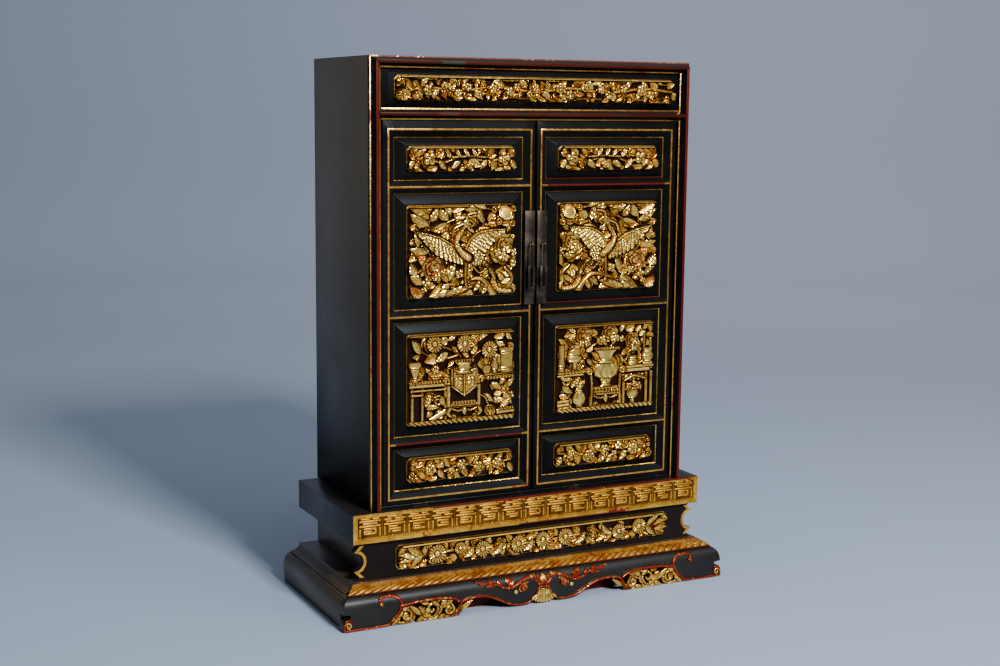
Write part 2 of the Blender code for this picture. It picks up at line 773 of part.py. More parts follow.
def phoenix_scene(at, height, crest, small_blossoms):
    """A phoenix in flight between flowers and leaves, with the sun in one upper corner."""
    forms = phoenix_bird(at, height, crest)
    forms.append(dome(at(0.90, 0.91), height * 0.075, 8, crest * 0.9, flat=0.8))
    forms.append(blossom(at(0.20, 0.33), height * 0.13, 6, crest, turn=0.3))
    forms.append(blossom(at(0.90, 0.53), height * 0.11, 6, crest))
    for k in range(small_blossoms):
        u = 0.14 + 0.32 * k
        v = 0.15 + 0.12 * k
        forms.append(blossom(at(u, v), height * 0.06, 4, crest * 0.9, turn=k))
    for v in (0.95, 0.56, 0.20):
        forms.append(leaf(at(0.19, v - 0.10), at(0.02, v), height * 0.12, crest * 0.8))
    for u, reach in ((0.33, 0.12), (0.46, 0.07), (0.74, 0.10)):
        root = at(u - reach / 2, 0.91 - reach / 2)
        forms.append(leaf(root, at(u + reach / 2, 0.91 + reach / 2), height * 0.09, crest * 0.75))
    for u, lean in ((0.18, -0.10), (0.36, -0.06), (0.50, 0.10), (0.66, 0.07)):
        forms.append(leaf(at(u, 0.02), at(u + lean, 0.17), height * 0.12, crest * 0.75))
    cloud = [at(0.84, 0.10), at(0.96, 0.14), at(0.94, 0.30), at(0.84, 0.24)]
    forms.append(ribbon(cloud, height * 0.06, crest * 0.8))
    return forms


def level_bar(at, height, crest, ends, rise):
    """A level bar between two shares of the width and two shares of the height."""
    edges = sorted((at(ends[0], 0.0).x, at(ends[1], 0.0).x))
    low, high = (share * height for share in rise)
    slope = min(edges[1] - edges[0], high - low) / 4
    return bar((edges[0], low), (edges[1], high), slope, crest)


def stand(at, height, crest, left, right, top):
    """An open table: a top bar on two legs."""
    leg = 0.045 * height / abs(at(1.0, 0.0).x - at(0.0, 0.0).x)
    forms = [level_bar(at, height, crest, (left, right), (top - 0.045, top))]
    for start in (left, right - leg):
        forms.append(level_bar(at, height, crest * 0.9, (start, start + leg), (0.06, top - 0.02)))
    return forms


# Vessel profiles as (height, half width) shares of the panel's height
VASE = ((0.0, 0.09), (0.04, 0.06), (0.16, 0.14), (0.24, 0.06), (0.32, 0.07), (0.43, 0.14))
CUP = ((0.0, 0.05), (0.03, 0.02), (0.12, 0.055))
JAR = ((0.0, 0.03), (0.06, 0.07), (0.11, 0.03), (0.15, 0.05))


def vessel(at, height, crest, place, shape, size):
    """A vessel from one of the profiles above, standing at a place in the panel."""
    sections = [(rise * size * height, half * size * height) for rise, half in shape]
    return turned_vessel(at(*place), sections, crest)


def antiques_scene(at, height, crest, large_blossoms):
    """A tall vase on a stand, with flowers above and tables with vessels at both sides."""
    forms = [level_bar(at, height, crest * 0.8, (0.0, 1.0), (0.0, 0.05))]
    forms += stand(at, height, crest, 0.37, 0.66, 0.20)
    forms += stand(at, height, crest * 0.9, 0.01, 0.33, 0.42)
    forms.append(level_bar(at, height, crest * 0.9, (0.72, 0.99), (0.43, 0.48)))
    for place, shape, size in (
        ((0.52, 0.24), VASE, 1.0), ((0.07, 0.45), JAR, 1.35), ((0.18, 0.10), CUP, 1.4),
        ((0.78, 0.08), JAR, 1.2), ((0.89, 0.51), VASE, 0.70),
    ):
        forms.append(vessel(at, height, crest, place, shape, size))
    for k in range(large_blossoms):
        spot = at(0.22 + 0.60 * k / (large_blossoms - 1), 0.87 - 0.04 * k)
        forms.append(blossom(spot, height * 0.12, 7, crest, notch=0.86, dish=0.92, turn=k))
    for root, tip in (
        ((0.22, 0.66), (0.06, 0.74)), ((0.36, 0.70), (0.40, 0.97)), ((0.66, 0.70), (0.63, 0.98)),
        ((0.10, 0.80), (0.03, 0.95)), ((0.74, 0.34), (0.96, 0.36)), ((0.76, 0.27), (0.95, 0.17)),
    ):
        forms.append(leaf(at(*root), at(*tip), height * 0.12, crest * 0.75))
    for bend, end in (((0.38, 0.72), (0.30, 0.78)), ((0.66, 0.72), (0.74, 0.76))):
        forms.append(ribbon([at(0.52, 0.67), at(*bend), at(*end)], height * 0.04, crest * 0.7))
    return forms


# Doors
def door_spans():
    """The door's bead box, its four openings and the bead's inner edges, for the left door."""
    left = -HALF_OPENING + DOOR_CLEARANCE
    right = -DOOR_MEETING_GAP / 2
    bottom = SLAB_TOP + FLOOR_THICKNESS + DOOR_CLEARANCE
    top = MIDDLE_RAIL_BOTTOM - DOOR_CLEARANCE
    outer = (left, right, bottom, top)
    bead_sides = (left + DOOR_BORDER_HINGE, right - DOOR_BORDER_MEETING)
    bead = (*bead_sides, bottom + DOOR_BORDER_BOTTOM, top - DOOR_BORDER_TOP)
    within = inset_box(bead, BEAD_WIDTH, BEAD_WIDTH)
    clear = within[3] - within[2] - 2 * SLOPE_EDGE - 3 * (2 * SLOPE_RAIL + BEAD_WIDTH)
    large = (clear - 2 * SMALL_OPENING_HEIGHT) / 2
    heights = (SMALL_OPENING_HEIGHT, large, large, SMALL_OPENING_HEIGHT)
    openings = []
    shoulders = []
    level = within[2] + SLOPE_EDGE
    for index, height in enumerate(heights):
        low_slope = SLOPE_EDGE if index == 0 else SLOPE_RAIL
        high_slope = SLOPE_EDGE if index == len(heights) - 1 else SLOPE_RAIL
        openings.append((within[0] + SLOPE_EDGE, within[1] - SLOPE_EDGE, level, level + height))
        shoulders.append((within[0], within[1], level - low_slope, level + height + high_slope))
        level += height + 2 * SLOPE_RAIL + BEAD_WIDTH
    return outer, bead, openings, shoulders


def flip_box(side, box):
    """A (left, right, bottom, top) box on the left door, or its mirror on the right door."""
    if side < 0:
        return box
    return (-box[1], -box[0], box[2], box[3])


def box_loop(box):
    """The four corners of a (left, right, bottom, top) box."""
    left, right, bottom, top = box
    return [(left, bottom), (right, bottom), (right, top), (left, top)]


def fill_with_holes(builder, outline, holes, y, corner_of):
    """Flat triangles at one y between an outline and its holes, on corners that exist already."""
    corners, triangles = flat_net(outline, holes, [])
    for triangle in triangles:
        builder.faces.new([corner_of(corners[index], y) for index in triangle])


def door_frame(side, word, spans):
    """The door's stiles and rails as one lacquered leaf with four openings."""
    outer, bead, openings, shoulders = spans
    builder = bmesh.new()
    known = {}

    def corner_of(point, y):
        key = (round(point[0], 5), round(point[1], 5), round(y, 5))
        if key not in known:
            known[key] = builder.verts.new((mirrored(side, point[0]), y, point[1]))
        return known[key]

    def loop(box, y):
        return [corner_of(point, y) for point in box_loop(box)]

    chamfered = (outer[0] + DOOR_HINGE_CHAMFER, outer[1] - DOOR_MEETING_CHAMFER, outer[2], outer[3])
    bridge(builder, loop(outer, DOOR_BACK_Y), loop(outer, DOOR_FACE_Y + DOOR_HINGE_CHAMFER))
    bridge(builder, loop(outer, DOOR_FACE_Y + DOOR_HINGE_CHAMFER), loop(chamfered, DOOR_FACE_Y))
    bridge(builder, loop(chamfered, DOOR_FACE_Y), loop(bead, DOOR_FACE_Y))
    bridge(builder, loop(bead, DOOR_FACE_Y), loop(bead, BEAD_FACE_Y))
    fill_with_holes(builder, box_loop(bead), [box_loop(box) for box in shoulders], BEAD_FACE_Y, corner_of)
    for shoulder, opening in zip(shoulders, openings):
        bridge(builder, loop(shoulder, BEAD_FACE_Y), loop(opening, PANEL_EDGE_Y))
        bridge(builder, loop(opening, PANEL_EDGE_Y), loop(opening, DOOR_BACK_Y))
    fill_with_holes(builder, box_loop(outer), [box_loop(box) for box in openings], DOOR_BACK_Y, corner_of)
    return add_piece(f"door_{word}_frame", builder)


PANEL_WORDS = ("bottom", "antiques", "phoenix", "top")


def build_doors():
    """Each door: a frame, four fielded panels with carved blocks, and its hardware."""
    spans = door_spans()
    layouts = {
        "bottom": (spray, 3), "antiques": (antiques_scene, 3),
        "phoenix": (phoenix_scene, 3), "top": (spray, 3),
    }
    for side, word in SIDES:
        leaf_pieces = [door_frame(side, word, spans)]
        for panel_word, opening in zip(PANEL_WORDS, spans[2]):
            box = inset_box(flip_box(side, opening), FIT, FIT)
            large = panel_word in ("antiques", "phoenix")
            bevel_top = PANEL_BEVEL if large else SMALL_PANEL_BEVEL
            field = inset_box(box, PANEL_BEVEL, bevel_top)
            rings = [(*box, PANEL_EDGE_Y), (*field, PANEL_FIELD_Y)]
            panel_name = f"door_{word}_panel_{panel_word}"
            leaf_pieces.append(nested_panel(panel_name, rings, PANEL_EDGE_Y + PANEL_THICKNESS))
            block = inset_box(field, PANEL_MARGIN, PANEL_MARGIN)
            layout, detail = layouts[panel_word]
            carving_name = f"door_{word}_carving_{panel_word}"
            back_y = PANEL_FIELD_Y - FIT
            leaf_pieces.append(carve_block(carving_name, block, back_y, layout, detail, flip=side > 0))
        leaf_pieces += build_hardware(side, word)
        pivot_x = mirrored(side, spans[0][0] + PIVOT_FROM_EDGE)
        pivot_place = (pivot_x, DOOR_FACE_Y + PIVOT_FROM_FACE, spans[0][2])
        hang(leaf_pieces, joint_axis(f"{word}_door_pivot", pivot_place))


def build_hardware(side, word):
    """The back plate, the eye that stands out of it and the slotted pull that hangs in the eye."""
    edge = -DOOR_MEETING_GAP / 2 - DOOR_MEETING_CHAMFER
    centre = SLAB_TOP + PLATE_CENTRE_HEIGHT
    plate_back = BEAD_FACE_Y - FIT
    plate_front = plate_back - PLATE_THICKNESS
    xs = sorted((mirrored(side, edge), mirrored(side, edge - PLATE_WIDTH)))
    low = (xs[0], plate_front, centre - PLATE_HEIGHT / 2)
    high = (xs[1], plate_back, centre + PLATE_HEIGHT / 2)
    plate = board(f"door_{word}_plate", low, high, AGED_BRONZE)
    middle = (xs[0] + xs[1]) / 2
    eye_z = centre + EYE_RISE
    eye_y = plate_front - EYE_PROUD
    eye = build_eye(f"door_{word}_eye", middle, eye_y, eye_z, plate_front - FIT)
    pin = joint_axis(f"{word}_pull_pin", (middle, eye_y, eye_z), (0.0, math.pi / 2, 0.0))
    hang([build_pull(f"door_{word}_pull", middle, eye_y, eye_z)], pin)
    return [plate, eye, pin]


def circle_points(centre_u, centre_v, radius, sides, start, end):
    """Points along an arc, from one angle to another."""
    angles = [start + (end - start) * k / sides for k in range(sides + 1)]
    return [(centre_u + radius * math.cos(a), centre_v + radius * math.sin(a)) for a in angles]


def build_eye(name, x, y, z, back_y):
    """A flat ring on a short shank, its hole running from side to side."""
    shank = EYE_RADIUS * EYE_SHANK_SHARE
    turn = math.asin(EYE_SHANK_SHARE)
    ring = circle_points(0.0, 0.0, EYE_RADIUS, EYE_SIDES, turn, 2 * math.pi - turn)
    outline = [(back_y - y, shank)] + ring + [(back_y - y, -shank)]
    hole = circle_points(0.0, 0.0, EYE_HOLE_RADIUS, EYE_HOLE_SIDES, 0.0, 2 * math.pi)[:-1]

    def place(u, v, reach):
        return (x - EYE_THICKNESS / 2 + reach, y + u, z + v)

    return carved_piece(name, outline, [hole], [], lambda u, v: EYE_THICKNESS, place, AGED_BRONZE)


def build_pull(name, x, y, z):
    """A long flat pull: a slot from the pin down, and a wider lower half."""
    top = PULL_PIN / 2
    bottom = top - PULL_LENGTH
    step = bottom + PULL_TAB_LENGTH
    half = PULL_WIDTH / 2
    tab = PULL_TAB_WIDTH / 2
    outline = [
        (half, top), (-half, top), (-half, step + PULL_PIN), (-tab, step),
        (-tab, bottom), (tab, bottom), (tab, step), (half, step + PULL_PIN),
    ]
    slot = PULL_SLOT_WIDTH / 2
    hole = [(slot, -top), (-slot, -top), (-slot, bottom + PULL_FOOT_BAR), (slot, bottom + PULL_FOOT_BAR)]

    def place(u, v, reach):
        return (x + u, y + PULL_THICKNESS / 2 - reach, z + v)

    return carved_piece(name, outline, [hole], [], lambda u, v: PULL_THICKNESS, place, AGED_BRONZE)


# Slab and waist
FRET_BORDER_SHARE = 0.6
FRET_GAP_SHARE = 0.6
FRET_ROW_START = 1.8
SCALLOP_NOTCH_SHARE = 0.36
SCALLOP_END_SHARE = 0.2


def build_slab():
    """A thick board whose front edge has a row of square key frets between plain borders."""
    half = HALF_BODY + SLAB_OVERHANG_SIDE
    width = 2 * half
    height = SLAB_HEIGHT - 2 * FIT
    body_depth = BODY_DEPTH + SLAB_OVERHANG_FRONT - FRET_RAISE
    pitch = width / FRET_UNITS
    clear = height - 2 * FRET_BORDER
    slope = FRET_STROKE / 4
    band = FRET_BORDER * FRET_BORDER_SHARE
    gap = FRET_STROKE * FRET_GAP_SHARE
    forms = []
    for level in (0.0, height - band):
        forms.append(bar((0.0, level), (width, level + band), slope, FRET_RAISE))
    for unit in range(FRET_UNITS):
        left = unit * pitch + gap
        right = (unit + 1) * pitch - gap
        upright = (left + FRET_STROKE, FRET_BORDER + clear)
        forms.append(stroke((left, FRET_BORDER), upright, FRET_RAISE))
        for row in range(FRET_ROWS):
            low = FRET_BORDER + (clear - FRET_STROKE) * row / (FRET_ROWS - 1)
            start = (left + FRET_STROKE * FRET_ROW_START, low)
            forms.append(stroke(start, (right, low + FRET_STROKE), FRET_RAISE))

    def place(u, v, reach):
        return (u - half, BACK_Y - reach, SLAB_BOTTOM + FIT + v)

    outline = [(0.0, 0.0), (width, 0.0), (width, height), (0.0, height)]
    carved_piece("slab", outline, [], forms, lambda u, v: body_depth, place, GILDING)


def scallop_end(low, high):
    """Half of the front waist board's end, as (inset from the ear, height) from bottom to top."""
    height = high - low
    cusp = height * WAIST_CUSP_SHARE
    notch = cusp * SCALLOP_NOTCH_SHARE
    end = WAIST_NOTCH * SCALLOP_END_SHARE
    points = [(end, low), (WAIST_NOTCH, low + notch), (0.0, low + cusp)]
    middle = (low + high) / 2
    reach = (height - 2 * cusp) / 2
    for k in range(1, WAIST_SCALLOP_STEPS):
        angle = math.pi * k / WAIST_SCALLOP_STEPS
        points.append((WAIST_SCALLOP * math.sin(angle), middle - reach * math.cos(angle)))
    points += [(0.0, high - cusp), (WAIST_NOTCH, high - notch), (end, high)]
    return points


def build_waist():
    """Sides and back flush with the body, and the wider front board with its carved strip."""
    low = BASE_HEIGHT + FIT
    high = SLAB_BOTTOM
    front_back = FRONT_Y + WAIST_BOARD
    ear = HALF_BODY + WAIST_EAR
    right = [(ear - inset, z) for inset, z in scallop_end(low, high)]
    outline = right + [(-x, z) for x, z in reversed(right)]

    def place(u, v, reach):
        return (u, front_back - reach, v)

    carved_piece("waist_front", outline, [], [], lambda u, v: WAIST_BOARD, place)
    for side, word in SIDES:
        xs = sorted((side * HALF_BODY, side * (HALF_BODY - WAIST_BOARD)))
        side_low = (xs[0], front_back + FIT, low)
        board(f"waist_side_{word}", side_low, (xs[1], BACK_Y, high))
    half = HALF_BODY - WAIST_BOARD - FIT
    board("waist_back", (-half, BACK_Y - WAIST_BOARD, low), (half, BACK_Y, high))
    middle = (low + high) / 2
    box = (-HALF_BODY + WAIST_CARVING_MARGIN_LEFT, HALF_BODY - WAIST_CARVING_MARGIN_RIGHT,
           middle - WAIST_CARVING_HEIGHT / 2, middle + WAIST_CARVING_HEIGHT / 2)
    carve_block("waist_carving", box, FRONT_Y - FIT, chrysanthemum_row, WAIST_BLOSSOMS,
                depth=WAIST_CARVING_DEPTH)


# Base
def base_top_profile():
    """The moulded edge of the top board as (half width, height), from its underside up."""
    bottom = BASE_BOARD_TOP + FIT
    fascia = BASE_HEIGHT - BASE_FASCIA
    sweep_low = bottom + BASE_FILLET
    wide = HALF_BASE_TOP + BASE_CAVETTO
    points = [(wide, bottom), (wide, sweep_low)]
    for k in range(1, CURVE_STEPS):
        angle = math.pi / 2 * k / CURVE_STEPS
        points.append((HALF_BASE_TOP + BASE_CAVETTO * (1 - math.sin(angle)),
                       sweep_low + (fascia - sweep_low) * (1 - math.cos(angle))))
    return points + [(HALF_BASE_TOP, fascia), (HALF_BASE_TOP, BASE_HEIGHT)]


def bullnose_profile():
    """The round shoulder of a base board as (reach, height), from its top edge down."""
    points = []
    drop = BASE_BOARD_TOP * BULLNOSE_SHARE
    for k in range(CURVE_STEPS + 1):
        angle = math.pi / 2 * k / CURVE_STEPS
        points.append((BULLNOSE_REACH * math.sin(angle), BASE_BOARD_TOP - drop * (1 - math.cos(angle))))
    return points


def build_base_top():
    """The moulded top board behind the gadrooned slope."""
    profile = base_top_profile()
    loop = profile + [(-x, z) for x, z in reversed(profile)]
    front = BASE_FRONT_Y + GADROON_TOP_SET_IN + FIT
    start = [(x, front, z) for x, z in loop]
    end = [(x, BACK_Y, z) for x, z in loop]
    prism("base_top", start, end)


def build_gadroon():
    """The front slope of the base: leaning lobes between a top edge and a fillet."""
    back = BASE_FRONT_Y + GADROON_TOP_SET_IN
    low_y = back - GADROON_RUN
    bottom = BASE_BOARD_TOP + FIT
    low_z = bottom + GADROON_FILLET
    top_half = HALF_BASE_TOP
    low_half = HALF_BASE_TOP + BASE_CAVETTO
    builder = bmesh.new()
    top = []
    low = []
    for k in range(GADROON_LOBES + 1):
        share = k / GADROON_LOBES
        top.append(builder.verts.new((-top_half + 2 * top_half * share, back, BASE_HEIGHT)))
        low.append(builder.verts.new((-low_half + 2 * low_half * share, low_y, low_z)))
    raise_by = Vector((0.0, -1.0, 1.0)).normalized() * GADROON_LOBE_RAISE
    for k in range(GADROON_LOBES):
        quad = (top[k], top[k + 1], low[k + 1], low[k])
        ends = []
        for share, lean in zip(GADROON_CREST_ENDS, (0.5 + GADROON_LEAN, 0.5 - GADROON_LEAN)):
            upper = quad[0].co.lerp(quad[1].co, lean)
            lower = quad[3].co.lerp(quad[2].co, lean)
            ends.append(builder.verts.new(upper.lerp(lower, share) + raise_by))
        builder.faces.new((quad[0], quad[1], ends[0]))
        builder.faces.new((quad[1], quad[2], ends[1], ends[0]))
        builder.faces.new((quad[2], quad[3], ends[1]))
        builder.faces.new((quad[3], quad[0], ends[0], ends[1]))
    left_front, right_front = (builder.verts.new((side * low_half, low_y, bottom)) for side, _ in SIDES)
    left_back, right_back = (builder.verts.new((side * low_half, back, bottom)) for side, _ in SIDES)
    builder.faces.new((left_front, right_front, *reversed(low)))
    builder.faces.new((left_front, left_back, right_back, right_front))
    builder.faces.new((left_back, *top, right_back))
    builder.faces.new((left_front, low[0], top[0], left_back))
    builder.faces.new((right_front, right_back, top[-1], low[-1]))
    add_piece("gadroon_moulding", builder, GILDING)


TOE_ROUND = 0.0020
THROAT_ROUND = 0.0022


def apron_end():
    """The right end of the apron as (x, z), from the floor up: toe, notch and bullnose."""
    wide = HALF_BASE + TOE_REACH
    side = HALF_BASE_TOP + BASE_CAVETTO
    throat = HALF_BASE + TOE_REACH - APRON_NOTCH
    toe = BASE_BOARD_TOP * TOE_SHARE
    points = [(wide - TOE_ROUND, 0.0), (wide, TOE_ROUND)]
    points += [(wide, toe - 2 * TOE_ROUND), (wide - TOE_ROUND, toe - TOE_ROUND)]
    points += [(throat + THROAT_ROUND, toe), (throat, toe + THROAT_ROUND), (throat, toe + 2 * THROAT_ROUND)]
    nose = [(side + reach, z) for reach, z in reversed(bullnose_profile())]
    return points + [(throat + THROAT_ROUND, nose[0][1] - THROAT_ROUND)] + nose


def apron_arch():
    """The apron's lower edge from the middle pendant to the right foot, as (x, z)."""
    foot = HALF_BASE - FOOT_WIDTH
    lift = BASE_BOARD_TOP
    spans = (
        (0.0, APRON_FLOOR_GAP / lift), (0.066, APRON_FLOOR_GAP / lift), (0.088, 0.07), (0.084, 0.20),
        (0.135, 0.06), (0.215, 0.07), (0.290, 0.24), (0.372, 0.51), (0.450, 0.53), (0.535, 0.44),
        (0.552, 0.12), (0.590, APRON_FLOOR_GAP / lift), (0.850, APRON_FLOOR_GAP / lift), (0.955, 0.07),
    )
    return [(share * foot, rise * lift) for share, rise in spans] + [(foot, 0.0)]


def apron_depth(x, z):
    """Depth of the apron's plain face in front of its back, at one height."""
    shoulder = bullnose_profile()
    if z <= shoulder[-1][1]:
        return BASE_BOARD
    for (near, high), (far, low) in zip(shoulder, shoulder[1:]):
        if z >= low:
            reach = near + (far - near) * (high - z) / (high - low)
            return BASE_BOARD - BULLNOSE_REACH + reach
    return BASE_BOARD


BOSS_SIDES = 6


def apron_forms():
    """Raised work on the apron: edge beads, C scrolls, pierced leaf scrolls and the middle flower."""
    foot = HALF_BASE - FOOT_WIDTH
    lift = BASE_BOARD_TOP
    raise_by = APRON_BEAD_RAISE

    def at(side, share, rise):
        return Vector((side * share * foot, rise * lift))

    forms = []
    for side in (-1, 1):
        scroll = [(1.032, 0.77), (1.028, 0.90), (0.985, 0.955), (0.935, 0.87), (0.920, 0.66),
                  (0.935, 0.40), (0.965, 0.18), (0.995, 0.06)]
        forms.append(ribbon([at(side, u, v) for u, v in scroll], APRON_SCROLL_WIDTH, raise_by * PLUMP))
        arch = [(0.11, 0.13), (0.215, 0.12), (0.290, 0.30), (0.372, 0.57), (0.450, 0.60), (0.530, 0.48)]
        forms.append(ribbon([at(side, u, v) for u, v in arch], APRON_BEAD_WIDTH, raise_by))
        crown = [(0.540, 0.46), (0.600, 0.66), (0.690, 0.72), (0.900, 0.68)]
        forms.append(ribbon([at(side, u, v) for u, v in crown], APRON_BEAD_WIDTH, raise_by))
        sole = [at(side, 1.005, 0.05), at(side, 1.25, 0.05)]
        forms.append(ribbon(sole, APRON_BEAD_WIDTH, raise_by))
        arm = [(0.02, 0.72), (0.10, 0.92), (0.150, 0.86), (0.205, 0.66), (0.260, 0.64), (0.305, 0.84),
               (0.370, 0.88), (0.450, 0.97)]
        forms.append(ribbon([at(side, u, v) for u, v in arm], APRON_BEAD_WIDTH, raise_by * PLUMPER))
        forms.append(leaf(at(side, 0.205, 0.72), at(side, 0.250, 0.99), lift * 0.22, raise_by * PLUMPER))
        forms.append(dome(at(side, 0.140, 0.64), lift * 0.10, BOSS_SIDES, raise_by * PLUMPEST))
        forms.append(dome(at(side, 0.195, 0.53), lift * 0.07, BOSS_SIDES, raise_by * PLUMPER))
    bud_foot = Vector((0.0, lift * 0.62))
    bud_tip = Vector((0.0, lift * 1.02))
    forms.append(leaf(bud_foot, bud_tip, lift * 0.34, raise_by * PLUMPER))
    forms.append(ribbon([at(1, 0.0, 0.66), at(1, 0.0, 0.42)], lift * 0.24, raise_by * PLUMP))
    for lean in (-0.075, -0.038, 0.0, 0.038, 0.075):
        forms.append(leaf(Vector((0.0, lift * 0.46)), at(1, lean, 0.05), lift * 0.17, raise_by * PLUMPER))
    return forms


SPANDREL_HOLES = ((0.612, 0.30, 0.10), (0.722, 0.42, 0.13), (0.862, 0.36, 0.13))
SPANDREL_HOLE_SIDES = 7


def build_apron():
    """The front board of the base, cut below to an arch between pierced leaf scrolls."""
    end = apron_end()
    arch = apron_arch()
    half = arch + end
    outline = half + [(-x, z) for x, z in reversed(half[1:])]
    foot = HALF_BASE - FOOT_WIDTH
    lift = BASE_BOARD_TOP
    holes = []
    for side in (-1, 1):
        for share, rise, radius in SPANDREL_HOLES:
            centre = (side * share * foot, rise * lift)
            rim = circle_points(*centre, radius * lift, SPANDREL_HOLE_SIDES, 0.0, 2 * math.pi)
            holes.append(rim[:-1])
    shoulder = [([(-HALF_BASE, z), (HALF_BASE, z)], False) for _, z in bullnose_profile()[1:]]
    forms = apron_forms()
    forms.append((shoulder, lambda point: 0.0))
    back = BASE_FRONT_Y + BASE_BOARD + APRON_BEAD_RAISE * PLUMPEST

    def place(u, v, reach):
        return (u, back - reach, v)

    carved_piece("apron_front", outline, holes, forms, apron_depth, place)
    return back


def build_base():
    """Top board, gadroon slope, apron, side and back boards and the red backing of the arch."""
    build_base_top()
    build_gadroon()
    apron_back = build_apron()
    shoulder = HALF_BASE_TOP + BASE_CAVETTO
    nose = [(shoulder + reach, z) for reach, z in bullnose_profile()]
    inner = HALF_BASE - BASE_BOARD
    profile = nose + [(HALF_BASE - SIDE_FOOT_TAPER, 0.0), (inner, 0.0), (inner, BASE_BOARD_TOP)]
    for side, word in SIDES:
        start = [(side * x, apron_back + FIT, z) for x, z in profile]
        end = [(side * x, BACK_Y, z) for x, z in profile]
        prism(f"base_side_{word}", start, end)
    half = inner - FIT
    back_low = (-half, BACK_Y - BASE_BOARD, 0.0)
    board("base_back", back_low, (half, BACK_Y, BASE_BOARD_TOP))
    backing_front = apron_back + BACKING_SET_BACK
    backing_high = (half, backing_front + BACKING_THICKNESS, BASE_BOARD_TOP)
    board("base_backing", (-half, backing_front, 0.0), backing_high, RED_LACQUER)


def build_cabinet():
    """Everything, from the body down to the floor."""
    for old in list(bpy.data.objects):
        bpy.data.objects.remove(old, do_unlink=True)
    build_frame()
    build_case()
    build_doors()
    build_slab()
    build_waist()
    build_base()


build_cabinet()
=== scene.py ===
# %% [markdown]
# # An altar cabinet in black and red lacquer with gilt carving
#
# The cabinet is a case on a thick slab, a narrow waist and a moulded base. Its sides, doors and mouldings
# are lacquered black, with red ridges and thin gilded lines, and carved gilt blocks sit on the doors, on
# the frieze and on the waist. The solid model gives every board its place. This lesson dresses those
# solids: it copies them, softens their edges, paints their faces and carves the fine relief.

# %% Load the solids
import json
import math

import bpy
import numpy as np
from mathutils import Euler, Matrix, Vector

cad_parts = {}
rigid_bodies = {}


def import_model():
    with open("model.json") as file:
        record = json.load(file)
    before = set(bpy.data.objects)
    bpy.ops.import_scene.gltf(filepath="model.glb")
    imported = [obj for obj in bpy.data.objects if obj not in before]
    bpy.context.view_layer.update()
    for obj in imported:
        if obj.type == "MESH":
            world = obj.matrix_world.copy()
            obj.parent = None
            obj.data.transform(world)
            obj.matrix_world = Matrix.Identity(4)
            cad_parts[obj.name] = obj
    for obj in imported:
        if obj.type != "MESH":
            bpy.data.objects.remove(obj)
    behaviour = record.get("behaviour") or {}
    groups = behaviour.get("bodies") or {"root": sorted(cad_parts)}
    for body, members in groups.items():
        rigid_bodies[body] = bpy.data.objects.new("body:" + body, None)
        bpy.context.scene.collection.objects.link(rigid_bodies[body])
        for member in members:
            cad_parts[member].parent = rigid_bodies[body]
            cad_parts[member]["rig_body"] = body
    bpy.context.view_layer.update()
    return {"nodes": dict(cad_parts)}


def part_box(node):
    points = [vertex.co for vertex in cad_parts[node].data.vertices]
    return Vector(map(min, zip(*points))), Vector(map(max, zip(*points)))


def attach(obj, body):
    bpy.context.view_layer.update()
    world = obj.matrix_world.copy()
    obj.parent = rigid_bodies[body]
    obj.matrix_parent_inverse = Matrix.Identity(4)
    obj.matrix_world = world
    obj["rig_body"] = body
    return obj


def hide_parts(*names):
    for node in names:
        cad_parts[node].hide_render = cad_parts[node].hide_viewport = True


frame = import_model()
bpy.ops.object.select_all(action="DESELECT")
MM = 0.001

# %% [markdown]
# ## The camera
#
# The photograph was taken from the left and a little above, with a lens that is slightly longer than
# normal. The camera's place and its three turns were worked out from the straight edges of the case and the
# base, so the frame of the render and the frame of the photograph agree. Depth of field stays off.

# %% Camera
CAMERA_PLACE = Vector((-0.7809, -1.5396, 0.5463))
CAMERA_YAW = -0.46501
CAMERA_PITCH = -0.14632
CAMERA_ROLL = 0.00963
LENS = 54.71

camera_data = bpy.data.cameras.new("photo_camera")
camera_data.lens = LENS
camera_data.sensor_fit = "HORIZONTAL"
camera_data.sensor_width = 36.0
camera = bpy.data.objects.new("photo_camera", camera_data)
look = Euler((math.pi / 2 + CAMERA_PITCH, 0.0, CAMERA_YAW)).to_matrix() @ Matrix.Rotation(CAMERA_ROLL, 3, "Z")
camera.matrix_world = Matrix.Translation(CAMERA_PLACE) @ look.to_4x4()
bpy.context.scene.collection.objects.link(camera)
bpy.context.scene.camera = camera
print("camera turned", round(math.degrees(CAMERA_YAW), 1), "degrees from the front")

# %% [markdown]
# ## Materials are built from small helpers
#
# A material here is a network of nodes. One helper adds a node and joins its inputs, so that a network
# reads as a list. An effect that several finishes share, such as wear or brush marks, is a node group with
# named inputs and outputs, and each material places it with its own values.

# %% Node helpers
def feed(tree, node, inputs):
    """Join a node's inputs to sockets, or set them to values."""
    for name, value in inputs.items():
        if isinstance(value, bpy.types.NodeSocket):
            tree.links.new(value, node.inputs[name])
        else:
            node.inputs[name].default_value = value


def add_node(tree, kind, inputs, **settings):
    """One node with its settings and inputs."""
    made = tree.nodes.new(kind)
    for name, value in settings.items():
        setattr(made, name, value)
    feed(tree, made, inputs)
    return made


def math_node(tree, operation, first, second=0.0, clamp=False):
    """The result socket of one sum on two values or sockets."""
    node = add_node(tree, "ShaderNodeMath", {0: first, 1: second}, operation=operation, use_clamp=clamp)
    return node.outputs[0]


def scaled(tree, value, factor, shift=0.0):
    """A value times a factor, plus a shift."""
    product = math_node(tree, "MULTIPLY", value, factor)
    return math_node(tree, "ADD", product, shift) if shift else product


def between(tree, value, low, high):
    """A smooth step from 0 at low to 1 at high."""
    inputs = {"Value": value, "From Min": low, "From Max": high}
    return add_node(tree, "ShaderNodeMapRange", inputs, interpolation_type="SMOOTHSTEP").outputs[0]


